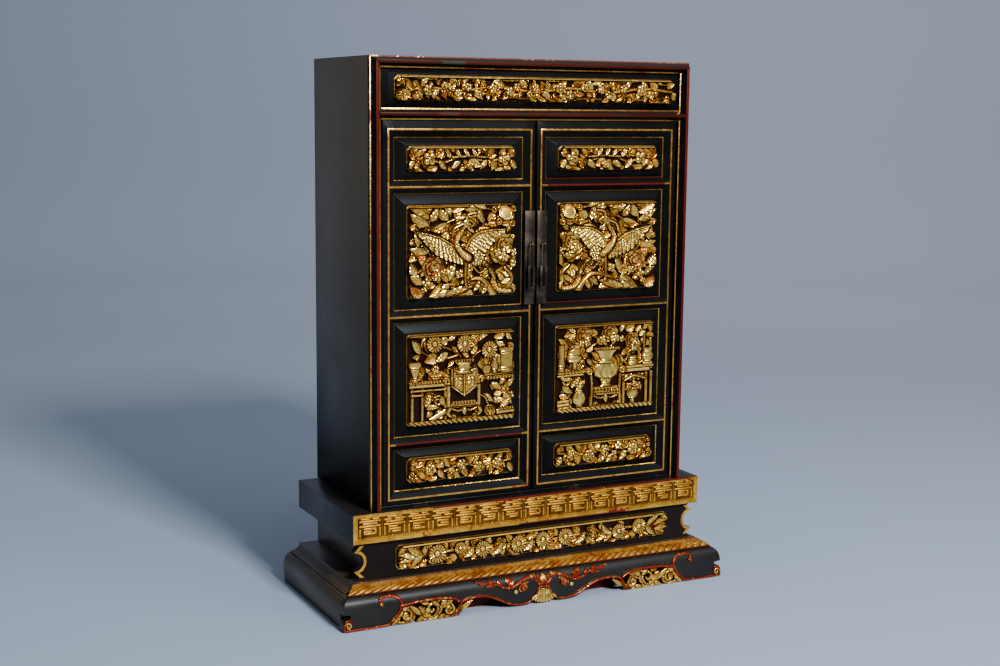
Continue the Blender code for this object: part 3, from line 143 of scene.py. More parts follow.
def mix_colour(tree, factor, first, second):
    """A blend of two colours or colour sockets."""
    return add_node(tree, "ShaderNodeMix", {0: factor, 6: first, 7: second}, data_type="RGBA").outputs[2]


def noise(tree, vector, scale, detail=4.0, roughness=0.55):
    """A noise value from 0 to 1 at so many patches to the metre."""
    inputs = {"Vector": vector, "Scale": scale, "Detail": detail, "Roughness": roughness}
    return add_node(tree, "ShaderNodeTexNoise", inputs).outputs["Fac"]


def axes_of(tree, vector):
    """The X, Y and Z sockets of a place."""
    return add_node(tree, "ShaderNodeSeparateXYZ", {"Vector": vector}).outputs


def rgb(red, green, blue):
    """A colour with full alpha."""
    return (red, green, blue, 1.0)


def start_group(name, inputs, outputs):
    """An empty node group with named inputs and outputs, and its two ends."""
    tree = bpy.data.node_groups.new(name, "ShaderNodeTree")
    for label, kind, value in inputs:
        socket = tree.interface.new_socket(label, in_out="INPUT", socket_type=kind)
        if value is not None:
            socket.default_value = value
    for label, kind in outputs:
        tree.interface.new_socket(label, in_out="OUTPUT", socket_type=kind)
    return tree, tree.nodes.new("NodeGroupInput").outputs, tree.nodes.new("NodeGroupOutput")


def start_material(name):
    """A new material, its tree, its Principled shader and its Object coordinates."""
    material = bpy.data.materials.new(name)
    material.use_nodes = True
    tree = material.node_tree
    place = tree.nodes.new("ShaderNodeTexCoord").outputs["Object"]
    return material, tree, tree.nodes["Principled BSDF"], place


def place_group(tree, group, inputs):
    """A node group placed in a material with its own values."""
    return add_node(tree, "ShaderNodeGroup", inputs, node_tree=group).outputs


def bumped(tree, height, strength, distance):
    """A normal that is tilted by a height."""
    inputs = {"Height": height, "Strength": strength, "Distance": distance}
    return add_node(tree, "ShaderNodeBump", inputs).outputs["Normal"]


FLOAT = "NodeSocketFloat"
COLOUR = "NodeSocketColor"
VECTOR = "NodeSocketVector"

# %% [markdown]
# ## Two shared effects: brushed lacquer and worn leaf
#
# Lacquer is brushed on and rubbed down by hand. It keeps faint long marks, cloudy patches where it is
# duller, and small nicks. Gold leaf is laid over a red ground, so it has brighter and deeper patches, and
# where it is rubbed the red shows. Both effects read Object coordinates, so nothing slides when a door
# turns.

# %% Brushed lacquer group
BRUSH_STRETCH = (420.0, 420.0, 26.0)
group, given, out = start_group(
    "brushed_lacquer",
    [("Vector", VECTOR, None), ("Wear", FLOAT, 0.2), ("Gloss", FLOAT, 0.3)],
    [("Nicks", FLOAT), ("Roughness", FLOAT), ("Height", FLOAT)],
)
clouds = noise(group, given["Vector"], 14.0, 5.0)
stretched = add_node(group, "ShaderNodeMapping", {"Vector": given["Vector"], "Scale": BRUSH_STRETCH})
brush_place = stretched.outputs["Vector"]
marks = noise(group, brush_place, 1.0, 3.0)
specks = noise(group, given["Vector"], 260.0, 6.0, 0.7)
patches = noise(group, given["Vector"], 38.0, 3.0)
threshold = scaled(group, given["Wear"], -0.42, 0.84)
spots = math_node(group, "ADD", scaled(group, specks, 0.5), scaled(group, patches, 0.5))
dull = math_node(group, "ADD", scaled(group, clouds, 0.30, -0.15), scaled(group, marks, 0.16, -0.08))
feed(group, out, {
    "Nicks": between(group, math_node(group, "SUBTRACT", spots, threshold), -0.02, 0.03),
    "Roughness": math_node(group, "ADD", dull, given["Gloss"], clamp=True),
    "Height": math_node(group, "ADD", scaled(group, marks, 0.6), scaled(group, clouds, 1.4)),
})
brushed = group

# %% Worn leaf group
group, given, out = start_group(
    "worn_leaf",
    [("Vector", VECTOR, None), ("Wear", FLOAT, 0.3), ("Bright", COLOUR, rgb(0.95, 0.66, 0.24)),
     ("Deep", COLOUR, rgb(0.55, 0.30, 0.07)), ("Bole", COLOUR, rgb(0.30, 0.035, 0.015))],
    [("Color", COLOUR), ("Gold", FLOAT), ("Roughness", FLOAT), ("Height", FLOAT)],
)
tone = between(group, noise(group, given["Vector"], 85.0, 6.0, 0.65), 0.34, 0.66)
rubbed = noise(group, given["Vector"], 120.0, 8.0, 0.7)
regions = noise(group, given["Vector"], 16.0, 2.0)
mixed = math_node(group, "ADD", scaled(group, rubbed, 0.55), scaled(group, regions, 0.45))
level = scaled(group, given["Wear"], -0.36, 0.70)
bare = between(group, math_node(group, "SUBTRACT", mixed, level), -0.015, 0.03)
leaf_colour = mix_colour(group, tone, given["Deep"], given["Bright"])
feed(group, out, {
    "Color": mix_colour(group, bare, leaf_colour, given["Bole"]),
    "Gold": math_node(group, "SUBTRACT", 1.0, bare),
    "Roughness": scaled(group, rubbed, 0.24, 0.07),
    "Height": math_node(group, "ADD", rubbed, tone),
})
worn_leaf = group
print("shader groups:", [group.name for group in bpy.data.node_groups])

# %% [markdown]
# ## The finishes
#
# Black lacquer is almost black, with a satin gloss. On its rubbed edges the brown and red layers below
# show, so edges have their own, more worn version. On the sides of the case the lacquer is painted lighter
# and given more sheen towards the top: a painted reflection, with a warm tint. Red lacquer is a deep
# vermilion. The gilt line is narrow, painted, and broken in places. The bronze of the plates and pulls is
# dark, with a dull brown skin.

# %% Lacquer finishes
WHITE = (1.0, 1.0, 1.0)
BLACK = (0.0105, 0.0076, 0.0056)
BROWN_UNDER = (0.075, 0.040, 0.022)
RED = (0.056, 0.0032, 0.0018)


def lacquer(name, colour, wear, gloss, sheen=0.25, tint=WHITE, under=BROWN_UNDER, coat=0.0):
    """Brushed lacquer of one colour, with the layer under it showing in its nicks."""
    material, tree, shader, place = start_material(name)
    surface = place_group(tree, brushed, {"Vector": place, "Wear": wear, "Gloss": gloss})
    tone = between(tree, noise(tree, place, 9.0, 3.0), 0.25, 0.75)
    lighter = rgb(*(min(1.0, part * 1.7 + 0.002) for part in colour))
    feed(tree, shader, {
        "Base Color": mix_colour(
            tree, surface["Nicks"], mix_colour(tree, tone, rgb(*colour), lighter), rgb(*under)),
        "Roughness": surface["Roughness"],
        "Normal": bumped(tree, surface["Height"], 0.10, 0.0006),
        "Coat Weight": coat,
        "Coat Roughness": 0.22,
        "Specular IOR Level": sheen,
        "Specular Tint": rgb(*tint),
    })
    return material


black_lacquer = lacquer("black_lacquer", BLACK, 0.10, 0.33, 0.75, (1.0, 0.78, 0.50))
# The fronts take a much darker copy of the black: painted shade for the dark room that the fronts face.
black_front = lacquer("black_lacquer_front", (0.0028, 0.0024, 0.0024), 0.12, 0.36, 0.062, (0.75, 0.88, 1.0))
# A lighter, warmer copy of the black with a strong warm sheen, for the top, the waist's sides and the base
# boards: painted light for how these boards catch the light.
black_dull = lacquer("black_lacquer_dull", (0.020, 0.0135, 0.0085), 0.25, 0.40, 0.80, (1.0, 0.70, 0.46))
black_edge = lacquer("black_lacquer_edge", BLACK, 0.62, 0.34, 0.3, under=(0.16, 0.085, 0.035), coat=0.06)
black_inside = lacquer("black_lacquer_inside", (0.012, 0.009, 0.008), 0.25, 0.55)
black_apron = lacquer("black_lacquer_apron", (0.0062, 0.0052, 0.0046), 0.12, 0.36, 0.28, (0.9, 0.94, 1.0))
waist_brown = lacquer("waist_lacquer", (0.0050, 0.0030, 0.0026), 0.15, 0.36, 0.10)
red_lacquer = lacquer("red_lacquer", RED, 0.45, 0.36, 0.14, (1.0, 0.7, 0.6), under=(0.045, 0.014, 0.008))
rail_red = lacquer("red_lacquer_rail", (0.030, 0.0034, 0.0022), 0.66, 0.36, 0.12, (1.0, 0.75, 0.65),
                   under=(0.024, 0.012, 0.008))
worn_red = lacquer("worn_red", RED, 0.97, 0.40, 0.14, under=(0.028, 0.024, 0.017))
red_edge = lacquer("red_lacquer_edge", (0.12, 0.009, 0.005), 0.45, 0.38, under=(0.42, 0.20, 0.07))

# %% Painted sheen on the sides
SIDE_SHEEN_FOOT = 0.15
SIDE_SHEEN_TOP = 0.53
tree = black_lacquer.node_tree
shader = tree.nodes["Principled BSDF"]
floor_axes = axes_of(tree, tree.nodes["Texture Coordinate"].outputs["Object"])
# Painted reflection: from the foot up to the top the sides are painted lighter and warmer, and given more
# sheen.
kept = between(tree, floor_axes["Z"], SIDE_SHEEN_FOOT, SIDE_SHEEN_TOP)
base = shader.inputs["Base Color"].links[0].from_socket
feed(tree, shader, {
    "Specular IOR Level": scaled(tree, kept, 3.1, 0.01),
    "Base Color": mix_colour(tree, scaled(tree, kept, 0.5), base, rgb(0.050, 0.038, 0.026)),
})


# %% Gilded finishes
def gilding(name, wear, bright, deep, bole, bump_strength, roughness_shift=0.0):
    """Gold leaf over a red ground."""
    material, tree, shader, place = start_material(name)
    colours = {"Bright": rgb(*bright), "Deep": rgb(*deep), "Bole": rgb(*bole)}
    leaf = place_group(tree, worn_leaf, {"Vector": place, "Wear": wear, **colours})
    feed(tree, shader, {
        "Base Color": leaf["Color"],
        "Metallic": math_node(tree, "MULTIPLY", leaf["Gold"], 0.92),
        "Roughness": math_node(tree, "ADD", leaf["Roughness"], roughness_shift),
        "Normal": bumped(tree, leaf["Height"], bump_strength, 0.0008),
        "Specular IOR Level": 0.12,
    })
    return material


gilt = gilding("gilding", 0.22, (1.0, 0.60, 0.12), (0.80, 0.40, 0.06), (0.15, 0.020, 0.006), 0.35)
gilt_line = gilding("gilt_line", 0.36, (0.80, 0.45, 0.090), (0.54, 0.24, 0.035), (0.22, 0.035, 0.008), 0.2,
    0.1)
gilt_worn = gilding("gilt_worn", 0.74, (0.80, 0.48, 0.14), (0.50, 0.24, 0.05), (0.16, 0.022, 0.008), 0.4,
    0.08)
gilt_border = gilding("gilt_border", 0.40, (0.98, 0.52, 0.065), (0.62, 0.26, 0.020), (0.12, 0.012, 0.004),
    0.3, 0.04)
gilt_stroke = gilding("gilt_stroke", 0.20, (0.96, 0.52, 0.07), (0.74, 0.33, 0.03), (0.26, 0.08, 0.015), 0.3,
    0.13)
# The fret's sunk ground is painted a dark brown gold: painted shade between the strokes.
gilt_ground_shade = gilding("gilt_ground_shade", 0.40, (0.20, 0.080, 0.008), (0.09, 0.030, 0.004), (0.05, 0.008, 0.002),
    0.3, 0.22)
gilt_rubbed = gilding("gilt_rubbed", 0.95, (0.80, 0.42, 0.10), (0.50, 0.22, 0.04), (0.090, 0.0065, 0.0032),
    0.4, 0.1)

# %% Carved gilding
# The carving's paint attribute says where gold, red and shadow lie. Gold covers what stands up, the hollows
# between the forms are painted dark as shade, the highest points are painted paler as a highlight, the red
# ground shows where the paint is red, and the background is left dark.
CARVED_LEAF = {"Bright": rgb(1.0, 0.585, 0.085), "Deep": rgb(0.42, 0.15, 0.008),
    "Bole": rgb(0.24, 0.045, 0.008)}
HIGHLIGHT_GOLD = rgb(1.0, 0.73, 0.18)
HOLLOW_SHADE_BROWN = rgb(0.038, 0.007, 0.002)
GROUND_RED = rgb(0.19, 0.016, 0.007)
BACKGROUND = rgb(0.011, 0.0035, 0.0018)

carved_gilding, tree, shader, place = start_material("carved_gilding")
paint = add_node(tree, "ShaderNodeAttribute", {}, attribute_name="paint").outputs
channels = add_node(tree, "ShaderNodeSeparateColor", {"Color": paint["Color"]}).outputs
leaf = place_group(tree, worn_leaf, {"Vector": place, "Wear": 0.30, **CARVED_LEAF})
speckle = noise(tree, place, 240.0, 6.0, 0.7)
# Painted highlight: the highest points are painted a paler gold.
painted_highlight = mix_colour(tree, between(tree, paint["Alpha"], 0.58, 0.95), leaf["Color"], HIGHLIGHT_GOLD)
# Painted shade: the hollows between the forms are painted dark brown, rougher, and lose their gold.
hollow_shade = between(tree, math_node(tree, "ADD", channels["Blue"], scaled(tree, speckle, 0.25)), 0.16, 0.58)
red_share = math_node(tree, "MULTIPLY", channels["Green"], between(tree, speckle, 0.30, 0.58), clamp=True)
reddened = mix_colour(tree, red_share, mix_colour(tree, hollow_shade, painted_highlight, HOLLOW_SHADE_BROWN), GROUND_RED)
gilded = between(tree, math_node(tree, "ADD", channels["Red"], scaled(tree, speckle, 0.2)), 0.80, 1.05)
bare = math_node(tree, "MULTIPLY", scaled(tree, hollow_shade, -1.0, 1.0), scaled(tree, red_share, -0.6, 1.0))
metal = math_node(tree, "MULTIPLY", math_node(tree, "MULTIPLY", gilded, bare), leaf["Gold"])
feed(tree, shader, {
    "Base Color": mix_colour(tree, gilded, BACKGROUND, reddened),
    "Metallic": math_node(tree, "MULTIPLY", metal, 0.9),
    "Roughness": math_node(tree, "ADD", leaf["Roughness"], scaled(tree, hollow_shade, 0.2)),
    "Normal": bumped(tree, leaf["Height"], 0.14, 0.0005),
    "Specular IOR Level": 0.16,
    "Specular Tint": rgb(1.0, 0.83, 0.64),
})

# %% Bronze
bronze, tree, shader, place = start_material("aged_bronze")
skin = noise(tree, place, 150.0, 8.0, 0.7)
patch = between(tree, noise(tree, place, 45.0, 3.0), 0.42, 0.62)
dark_skin = mix_colour(tree, skin, rgb(0.010, 0.008, 0.0055), rgb(0.034, 0.027, 0.018))
feed(tree, shader, {
    "Base Color": mix_colour(tree, patch, dark_skin, rgb(0.070, 0.056, 0.038)),
    "Roughness": scaled(tree, skin, 0.35, 0.25),
    "Normal": bumped(tree, skin, 0.35, 0.0005),
    "Metallic": 0.85,
})
print("finishes:", [material.name for material in bpy.data.materials if material.use_nodes])

# %% [markdown]
# ## The studio
#
# The object stands on a plain pale floor that curves up into a wall far behind it, on all sides, as a paper
# sweep does. The floor is a circle that is extruded outwards and then upwards along a quarter round. A soft
# key light stands in front, a weaker one fills in from the right, one hangs above, and one brightens the
# wall.

# %% Floor and sweep
FLOOR_RADIUS = 3.2
SWEEP_RADIUS = 1.6
WALL_HEIGHT = 4.5
SWEEP_STEPS = 8

bpy.ops.mesh.primitive_circle_add(vertices=96, radius=FLOOR_RADIUS, fill_type="NGON")
floor = bpy.context.object
floor.name = "floor"
bpy.ops.object.mode_set(mode="EDIT")
bpy.ops.mesh.select_mode(type="EDGE")
radius = FLOOR_RADIUS
level = 0.0
for step in range(1, SWEEP_STEPS + 1):
    angle = math.pi / 2 * step / SWEEP_STEPS
    wider = FLOOR_RADIUS + SWEEP_RADIUS * math.sin(angle)
    higher = SWEEP_RADIUS * (1 - math.cos(angle))
    bpy.ops.mesh.extrude_edges_move(TRANSFORM_OT_translate={"value": (0.0, 0.0, higher - level)})
    grow = wider / radius
    bpy.ops.transform.resize(value=(grow, grow, 1.0), center_override=(0.0, 0.0, higher))
    radius = wider
    level = higher
    bpy.ops.mesh.select_all(action="DESELECT")
    bpy.ops.object.mode_set(mode="OBJECT")
    for edge in floor.data.edges:
        ends = [floor.data.vertices[index].co for index in edge.vertices]
        edge.select = all(abs(end.z - higher) < 1e-4 and end.xy.length > radius - 1e-3 for end in ends)
    bpy.ops.object.mode_set(mode="EDIT")
bpy.ops.mesh.extrude_edges_move(TRANSFORM_OT_translate={"value": (0.0, 0.0, WALL_HEIGHT - level)})
bpy.ops.mesh.select_all(action="SELECT")
bpy.ops.mesh.normals_make_consistent(inside=True)
bpy.ops.object.mode_set(mode="OBJECT")
bpy.ops.object.shade_smooth()

# %% Pale paper
# The paper's colour has the room's light and shade painted into it: painted lighter where it curves up
# behind, greyer to the right and a little darker further out on the floor, and painted dark in front, out of
# sight, as painted shade that stands in for a dark room which throws no light back.
paper, tree, shader, place = start_material("pale_paper")
grain = noise(tree, place, 3.0, 4.0)
axes = axes_of(tree, place)
reach = add_node(tree, "ShaderNodeVectorMath", {0: place}, operation="LENGTH").outputs["Value"]
curve_share = math_node(tree, "MULTIPLY", between(tree, reach, 1.9, 3.2), between(tree, reach, 4.4, 3.5))
tone = mix_colour(tree, grain, rgb(0.303, 0.380, 0.515), rgb(0.318, 0.394, 0.530))
for share, colour in (
        (between(tree, reach, 0.5, 1.8), rgb(0.302, 0.355, 0.465)),
        (between(tree, axes["X"], 0.0, 3.0), rgb(0.345, 0.395, 0.495)),
        (scaled(tree, curve_share, 0.40), rgb(0.42, 0.47, 0.58)),
        (between(tree, axes["Y"], -0.5, -1.5), rgb(0.05, 0.05, 0.05))):
    tone = mix_colour(tree, share, tone, colour)
feed(tree, shader, {
    "Base Color": tone,
    "Roughness": scaled(tree, grain, 0.1, 0.55),
    "Specular IOR Level": 0.2,
})
floor.data.materials.append(paper)


# %% Lights
def soft_light(name, place, target, size, power, colour=WHITE):
    """A square softbox that faces a point."""
    data = bpy.data.lights.new(name, "AREA")
    data.shape = "SQUARE"
    data.size = size
    data.energy = power
    data.color = colour
    light = bpy.data.objects.new(name, data)
    light.location = place
    light.rotation_euler = (Vector(target) - Vector(place)).to_track_quat("-Z", "Y").to_euler()
    bpy.context.scene.collection.objects.link(light)


MIDDLE = (0.0, 0.0, 0.3)
soft_light("key_softbox", (0.2, -2.48, 1.8), MIDDLE, 0.5, 146.0, (1.0, 0.985, 0.96))
soft_light("fill_softbox", (1.2, -1.7, 2.3), MIDDLE, 1.0, 12.0, (0.98, 0.99, 1.0))
soft_light("top_softbox", (0.1, -0.4, 2.5), MIDDLE, 1.2, 12.0)
soft_light("wall_softbox", (1.6, 1.9, 2.4), (2.5, 4.1, 0.1), 1.8, 32.0)
world = bpy.data.worlds.new("studio")
world.use_nodes = True
feed(world.node_tree, world.node_tree.nodes["Background"], {"Color": rgb(0.93, 0.96, 1.0), "Strength": 0.255})
bpy.context.scene.world = world

# %% [markdown]
# ## Dressing a solid
#
# A solid arrives as loose triangles, so it is never shown as it is. A copy is merged and its flat faces are
# joined, extra cuts are made where a painted line needs its own face, and each face takes its finish from
# its place. At the end a small bevel rounds the edges, because no wooden edge is perfectly sharp, and the
# rounded strip can take a worn finish. The copy then stands for the solid and rides on the same body.

# %% Dressing helpers
def activate(piece):
    """Select one piece alone."""
    bpy.ops.object.select_all(action="DESELECT")
    piece.select_set(True)
    bpy.context.view_layer.objects.active = piece


def copy_solid(node):
    """A merged copy of a solid, with flat faces joined."""
    piece = bpy.data.objects.new(node + "_dressed", frame["nodes"][node].data.copy())
    bpy.context.scene.collection.objects.link(piece)
    activate(piece)
    if piece.data.has_custom_normals:
        bpy.ops.mesh.customdata_custom_splitnormals_clear()
    bpy.ops.object.mode_set(mode="EDIT")
    bpy.ops.mesh.select_all(action="SELECT")
    bpy.ops.mesh.remove_doubles(threshold=0.00001)
    bpy.ops.mesh.dissolve_limited(angle_limit=math.radians(0.5))
    bpy.ops.object.mode_set(mode="OBJECT")
    return piece


def cut_flat(piece, axis, places):
    """Cut a piece by flat planes across one axis, without taking anything away."""
    normal = [0.0, 0.0, 0.0]
    normal[axis] = 1.0
    activate(piece)
    bpy.ops.object.mode_set(mode="EDIT")
    for value in places:
        point = [0.0, 0.0, 0.0]
        point[axis] = value
        bpy.ops.mesh.select_all(action="SELECT")
        bpy.ops.mesh.bisect(plane_co=point, plane_no=normal)
    bpy.ops.object.mode_set(mode="OBJECT")


def select_faces(piece, rule):
    """Open a piece in edit mode with only the faces selected that the rule picks."""
    activate(piece)
    bpy.ops.object.mode_set(mode="EDIT")
    bpy.ops.mesh.select_all(action="DESELECT")
    bpy.ops.object.mode_set(mode="OBJECT")
    for face in piece.data.polygons:
        face.select = rule(face)
    bpy.ops.object.mode_set(mode="EDIT")
    bpy.ops.mesh.select_mode(type="FACE")


def faces_front(face):
    """Whether a face looks to the front."""
    return face.normal.y < -0.9


def paint_faces(piece, finishes, rule=lambda centre, normal: 0):
    """Give each face the finish that the rule picks from its middle and its normal."""
    piece.data.materials.clear()
    for finish in finishes:
        piece.data.materials.append(finish)
    for face in piece.data.polygons:
        face.material_index = rule(face.center, face.normal)


def smooth_below(piece, degrees):
    """Shade a piece smooth, but keep the edges that turn by more than an angle."""
    activate(piece)
    bpy.ops.object.shade_smooth_by_angle(angle=math.radians(degrees))


def round_edges(piece, width, edge_finish=-1, segments=2, angle=30.0):
    """Bevel the sharp edges; the rounded strips take one finish."""
    activate(piece)
    bevel = piece.modifiers.new("bevel", "BEVEL")
    bevel.width = width
    bevel.segments = segments
    bevel.limit_method = "ANGLE"
    bevel.angle_limit = math.radians(angle)
    bevel.material = edge_finish
    bevel.miter_outer = "MITER_ARC"
    bpy.ops.object.modifier_apply(modifier=bevel.name)
    smooth_below(piece, 35)


def stand_for(piece, node):
    """The piece replaces a solid and rides on its body."""
    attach(piece, frame["nodes"][node]["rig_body"])
    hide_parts(node)


def dress(node, finish, width, edge=None, angle=30.0):
    """Dress a solid in one finish all over, and in another on its rounded edges where one is given."""
    piece = copy_solid(node)
    paint_faces(piece, [finish, edge] if edge else [finish])
    round_edges(piece, width, 1 if edge else -1, angle=angle)
    stand_for(piece, node)


def triangles(piece):
    """How many triangles a piece has."""
    return sum(len(face.vertices) - 2 for face in piece.data.polygons)

# %% [markdown]
# ## Plain boards
#
# The sides, the top, the back, the floor of the case, the waist boards and the boards of the base are
# plain. Only their finish differs: outside they are satin black, inside and behind they are duller, and the
# board behind the apron's arch is red.

# %% Boards
BOARDS = (
    (black_lacquer, 0.8 * MM, ("side_left", "side_right")),
    (black_dull, 0.6 * MM, ("waist_side_left", "waist_side_right", "base_top")),
    (black_dull, 0.8 * MM, ("top_board", "base_side_left", "base_side_right")),
    (black_inside, 0.6 * MM, ("back_board", "waist_back", "base_back")),
    (black_front, 0.4 * MM, ("floor_board",)),
)
for finish, width, nodes in BOARDS:
    for node in nodes:
        dress(node, finish, width, edge=black_edge)
dress("base_backing", red_lacquer, 0.5 * MM, edge=red_edge)
print("boards dressed:", sum(len(nodes) for *_, nodes in BOARDS) + 1)

# %% [markdown]
# ## The frame moulding
#
# Around the front runs a moulding: a gilded flat at each edge, black slopes, and a red ridge in the middle.
# Each flat is a face of its own, so a face's place across the moulding picks its paint. The red ridge is
# worn along its edges, and quite bare in two short places.

# %% Frame moulding
FRAME_WIDTH = 12.2 * MM
GOLD_EDGE = 1.4 * MM
RIDGE = 3.4 * MM
WORN_PLACES = {"rail_top": (-0.116, -0.090), "rail_middle": (-0.121, -0.096)}
BRIGHT_SPANS = ((0.474, 0.492), (0.398, 0.404))
FRONT_BLACK, EDGE_GOLD, RIDGE_RED, BARE_RED, BROKEN_GOLD, UPWARD_SHEEN_BLACK, RAIL_RED = range(7)
FRAME_FINISHES = [black_front, gilt_line, red_lacquer, worn_red, gilt_worn, black_apron, rail_red]
ridge_low = (FRAME_WIDTH - RIDGE) / 2
body_low, body_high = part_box("stile_left")[0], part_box("stile_right")[1]
middle_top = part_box("rail_middle")[1].z


def moulding_rule(node, across_of):
    """A rule that paints by the distance across the moulding."""
    worn_low, worn_high = WORN_PLACES.get(node, (0.0, 0.0))

    def rule(centre, normal):
        across = across_of(centre)
        if normal.y > -0.3:
            return FRONT_BLACK
        if across < GOLD_EDGE:
            bright = node == "stile_right" and any(low < centre.z < high for low, high in BRIGHT_SPANS)
            return EDGE_GOLD if bright or node in ("rail_middle", "stile_left") else BROKEN_GOLD
        if across > FRAME_WIDTH - GOLD_EDGE:
            return EDGE_GOLD
        if ridge_low - 1e-4 < across < ridge_low + RIDGE + 1e-4 and normal.y < -0.9:
            if worn_low < centre.x < worn_high:
                return BARE_RED
            return RAIL_RED if node.startswith("rail") else RIDGE_RED
        # Faces that look upwards take the lighter, glossier apron black: a painted sheen from the light
        # above.
        return UPWARD_SHEEN_BLACK if normal.z > 0.2 else FRONT_BLACK
    return rule


MOULDINGS = {
    "stile_left": lambda centre: centre.x - body_low.x,
    "stile_right": lambda centre: body_high.x - centre.x,
    "rail_top": lambda centre: body_high.z - centre.z,
    "rail_middle": lambda centre: middle_top - centre.z,
}
for node, across_of in MOULDINGS.items():
    piece = copy_solid(node)
    cut_flat(piece, 0, WORN_PLACES.get(node, ()))
    if node == "stile_right":
        cut_flat(piece, 2, [place for span in BRIGHT_SPANS for place in span])
    paint_faces(piece, FRAME_FINISHES, moulding_rule(node, across_of))
    round_edges(piece, 0.45 * MM, angle=20.0)
    stand_for(piece, node)
print("mouldings:", len(MOULDINGS))

# %% [markdown]
# ## Doors, panels and the frieze
#
# A door is a flat border with a gilded bead, and slopes that go down to four sunk panels. At the foot of
# each slope runs a thin gilded line. The line has no face of its own on the solid, so flat cuts are made
# beside each opening and the strips between them are gilded.

# %% Door frames
LINE = 1.05 * MM
RED_BEAD_HALF = 30.0 * MM
PANEL_WORDS = ("bottom", "antiques", "phoenix", "top")
DOOR_BLACK, BEAD_GOLD, RUBBED_GOLD, BRIGHTENED_LINE_GOLD = range(4)
for side, red_joint in (("left", 0), ("right", 2)):
    node = f"door_{side}_frame"
    piece = copy_solid(node)
    face_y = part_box(node)[0].y
    openings = [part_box(f"door_{side}_panel_{word}") for word in PANEL_WORDS]
    cut_flat(piece, 0, (openings[0][0].x - LINE, openings[0][1].x + LINE))
    for low, high in openings:
        cut_flat(piece, 2, (low.z - LINE, high.z + LINE))
    middle = (openings[0][0].x + openings[0][1].x) / 2
    red_bead = (openings[red_joint][1].z + openings[red_joint + 1][0].z) / 2
    red_feet = [low.z for low, high in openings[2:]] if side == "right" else []

    def frame_rule(centre, normal):
        """The bead and the lines are gilded, and rubbed red in a few places."""
        if normal.y > -0.3:
            return DOOR_BLACK
        if centre.y < face_y + 0.2 * MM and normal.y < -0.95:
            rubbed = abs(centre.x - middle) < RED_BEAD_HALF and abs(centre.z - red_bead) < 3 * MM
            return RUBBED_GOLD if rubbed else BEAD_GOLD
        # The thin lines round the openings take the brighter gilding: painted light, so that they stay bright
        # where they lie in shade at the foot of the slopes.
        for low, high in openings:
            if low.x - LINE < centre.x < high.x + LINE and low.z - LINE < centre.z < high.z + LINE:
                return RUBBED_GOLD if any(foot - LINE < centre.z < foot for foot in red_feet) else BRIGHTENED_LINE_GOLD
        return DOOR_BLACK

    paint_faces(piece, [black_front, gilt_line, gilt_rubbed, gilt], frame_rule)
    round_edges(piece, 0.35 * MM, angle=20.0)
    stand_for(piece, node)
    print(node, "faces:", len(piece.data.polygons))

# %% Panels
PANELS = [f"door_{side}_panel_{word}" for side in ("left", "right") for word in PANEL_WORDS]
for node in (*PANELS, "frieze_panel"):
    dress(node, black_front, 0.6 * MM, angle=12.0)
print("panels:", len(PANELS) + 1)

# %% Waist board
# The scalloped ends of the waist board carry a gilded rim on the front as wide as the inset.
WAIST_RIM = 3.0 * MM
SCALLOP_FROM = 190.0 * MM
waist_low, waist_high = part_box("waist_front")
waist = copy_solid("waist_front")
select_faces(waist, faces_front)
bpy.ops.mesh.inset(thickness=WAIST_RIM)
bpy.ops.object.mode_set(mode="OBJECT")


def waist_rule(centre, normal):
    """Gilded on the front rim of the two scalloped ends."""
    on_rim = normal.y < -0.9 and abs(centre.x) > SCALLOP_FROM
    return int(on_rim and waist_low.z + WAIST_RIM < centre.z < waist_high.z - WAIST_RIM)


paint_faces(waist, [waist_brown, gilt_border], waist_rule)
smooth_below(waist, 30)
stand_for(waist, "waist_front")
print("waist faces:", len(waist.data.polygons), "gilded:",
    sum(face.material_index for face in waist.data.polygons))

# %% [markdown]
# ## Carving in relief
#
# The gilt blocks are carved from one board each, a few millimetres deep, with leaves, flowers, a bird and
# vessels that lie over each other. By hand this would be sculpted. A script can do it as a carver does: the
# block is a grid of heights, and each form is laid over what is there, so that it cuts off the forms behind
# it. Each tool below carves one kind of form. Widths and heights are in millimetres. A place is given as
# shares of the block's width and height, so that a layout is drawn once and fits its block.

# %% The block and the knife
PITCH = 0.46
CREST = 6.1
LOWEST = 0.3
OUTSIDE = -9.0
FAR = 1e9


def blank_block(width, height, unit=None):
    """A block to carve: its grid lines in millimetres, its heights, its red patches and its unit of place."""
    x = np.linspace(0.0, width, round(width / PITCH) + 1)
    z = np.linspace(0.0, height, round(height / PITCH) + 1)
    shape = (len(z), len(x))
    return {"x": x, "z": z, "h": np.zeros(shape), "red": np.zeros(shape),
        "unit": np.array(unit or (x[-1], z[-1]))}


def on_block(block, place):
    """A place in millimetres: a plain pair is in the block's units, an array is in millimetres already."""
    return place if isinstance(place, np.ndarray) else np.array(place, float) * block["unit"]


def line_on(block, points):
    """The places of a line that is given as x, z, x, z and so on, or as arrays."""
    if isinstance(points[0], np.ndarray):
        return points
    return list(np.reshape(np.array(points, float), (-1, 2)) * block["unit"])


def around(place, reach, angle):
    """The place that lies so far away at an angle."""
    return place + reach * np.array((math.cos(angle), math.sin(angle)))


def window(block, place, reach):
    """The part of the grid near a place, and its offsets from that place."""
    x, z = place
    columns = slice(*np.searchsorted(block["x"], (x - reach, x + reach)))
    rows = slice(*np.searchsorted(block["z"], (z - reach, z + reach)))
    right, up = np.meshgrid(block["x"][columns] - x, block["z"][rows] - z)
    return (rows, columns), right, up


def round_share(share):
    """The height of a round section at a share of its half width."""
    return np.sqrt(np.clip(1 - share**2, 0, 1))


def groove(offset, width):
    """The depth of a soft groove, 1 in its middle."""
    return np.exp(-((offset / width) ** 2))


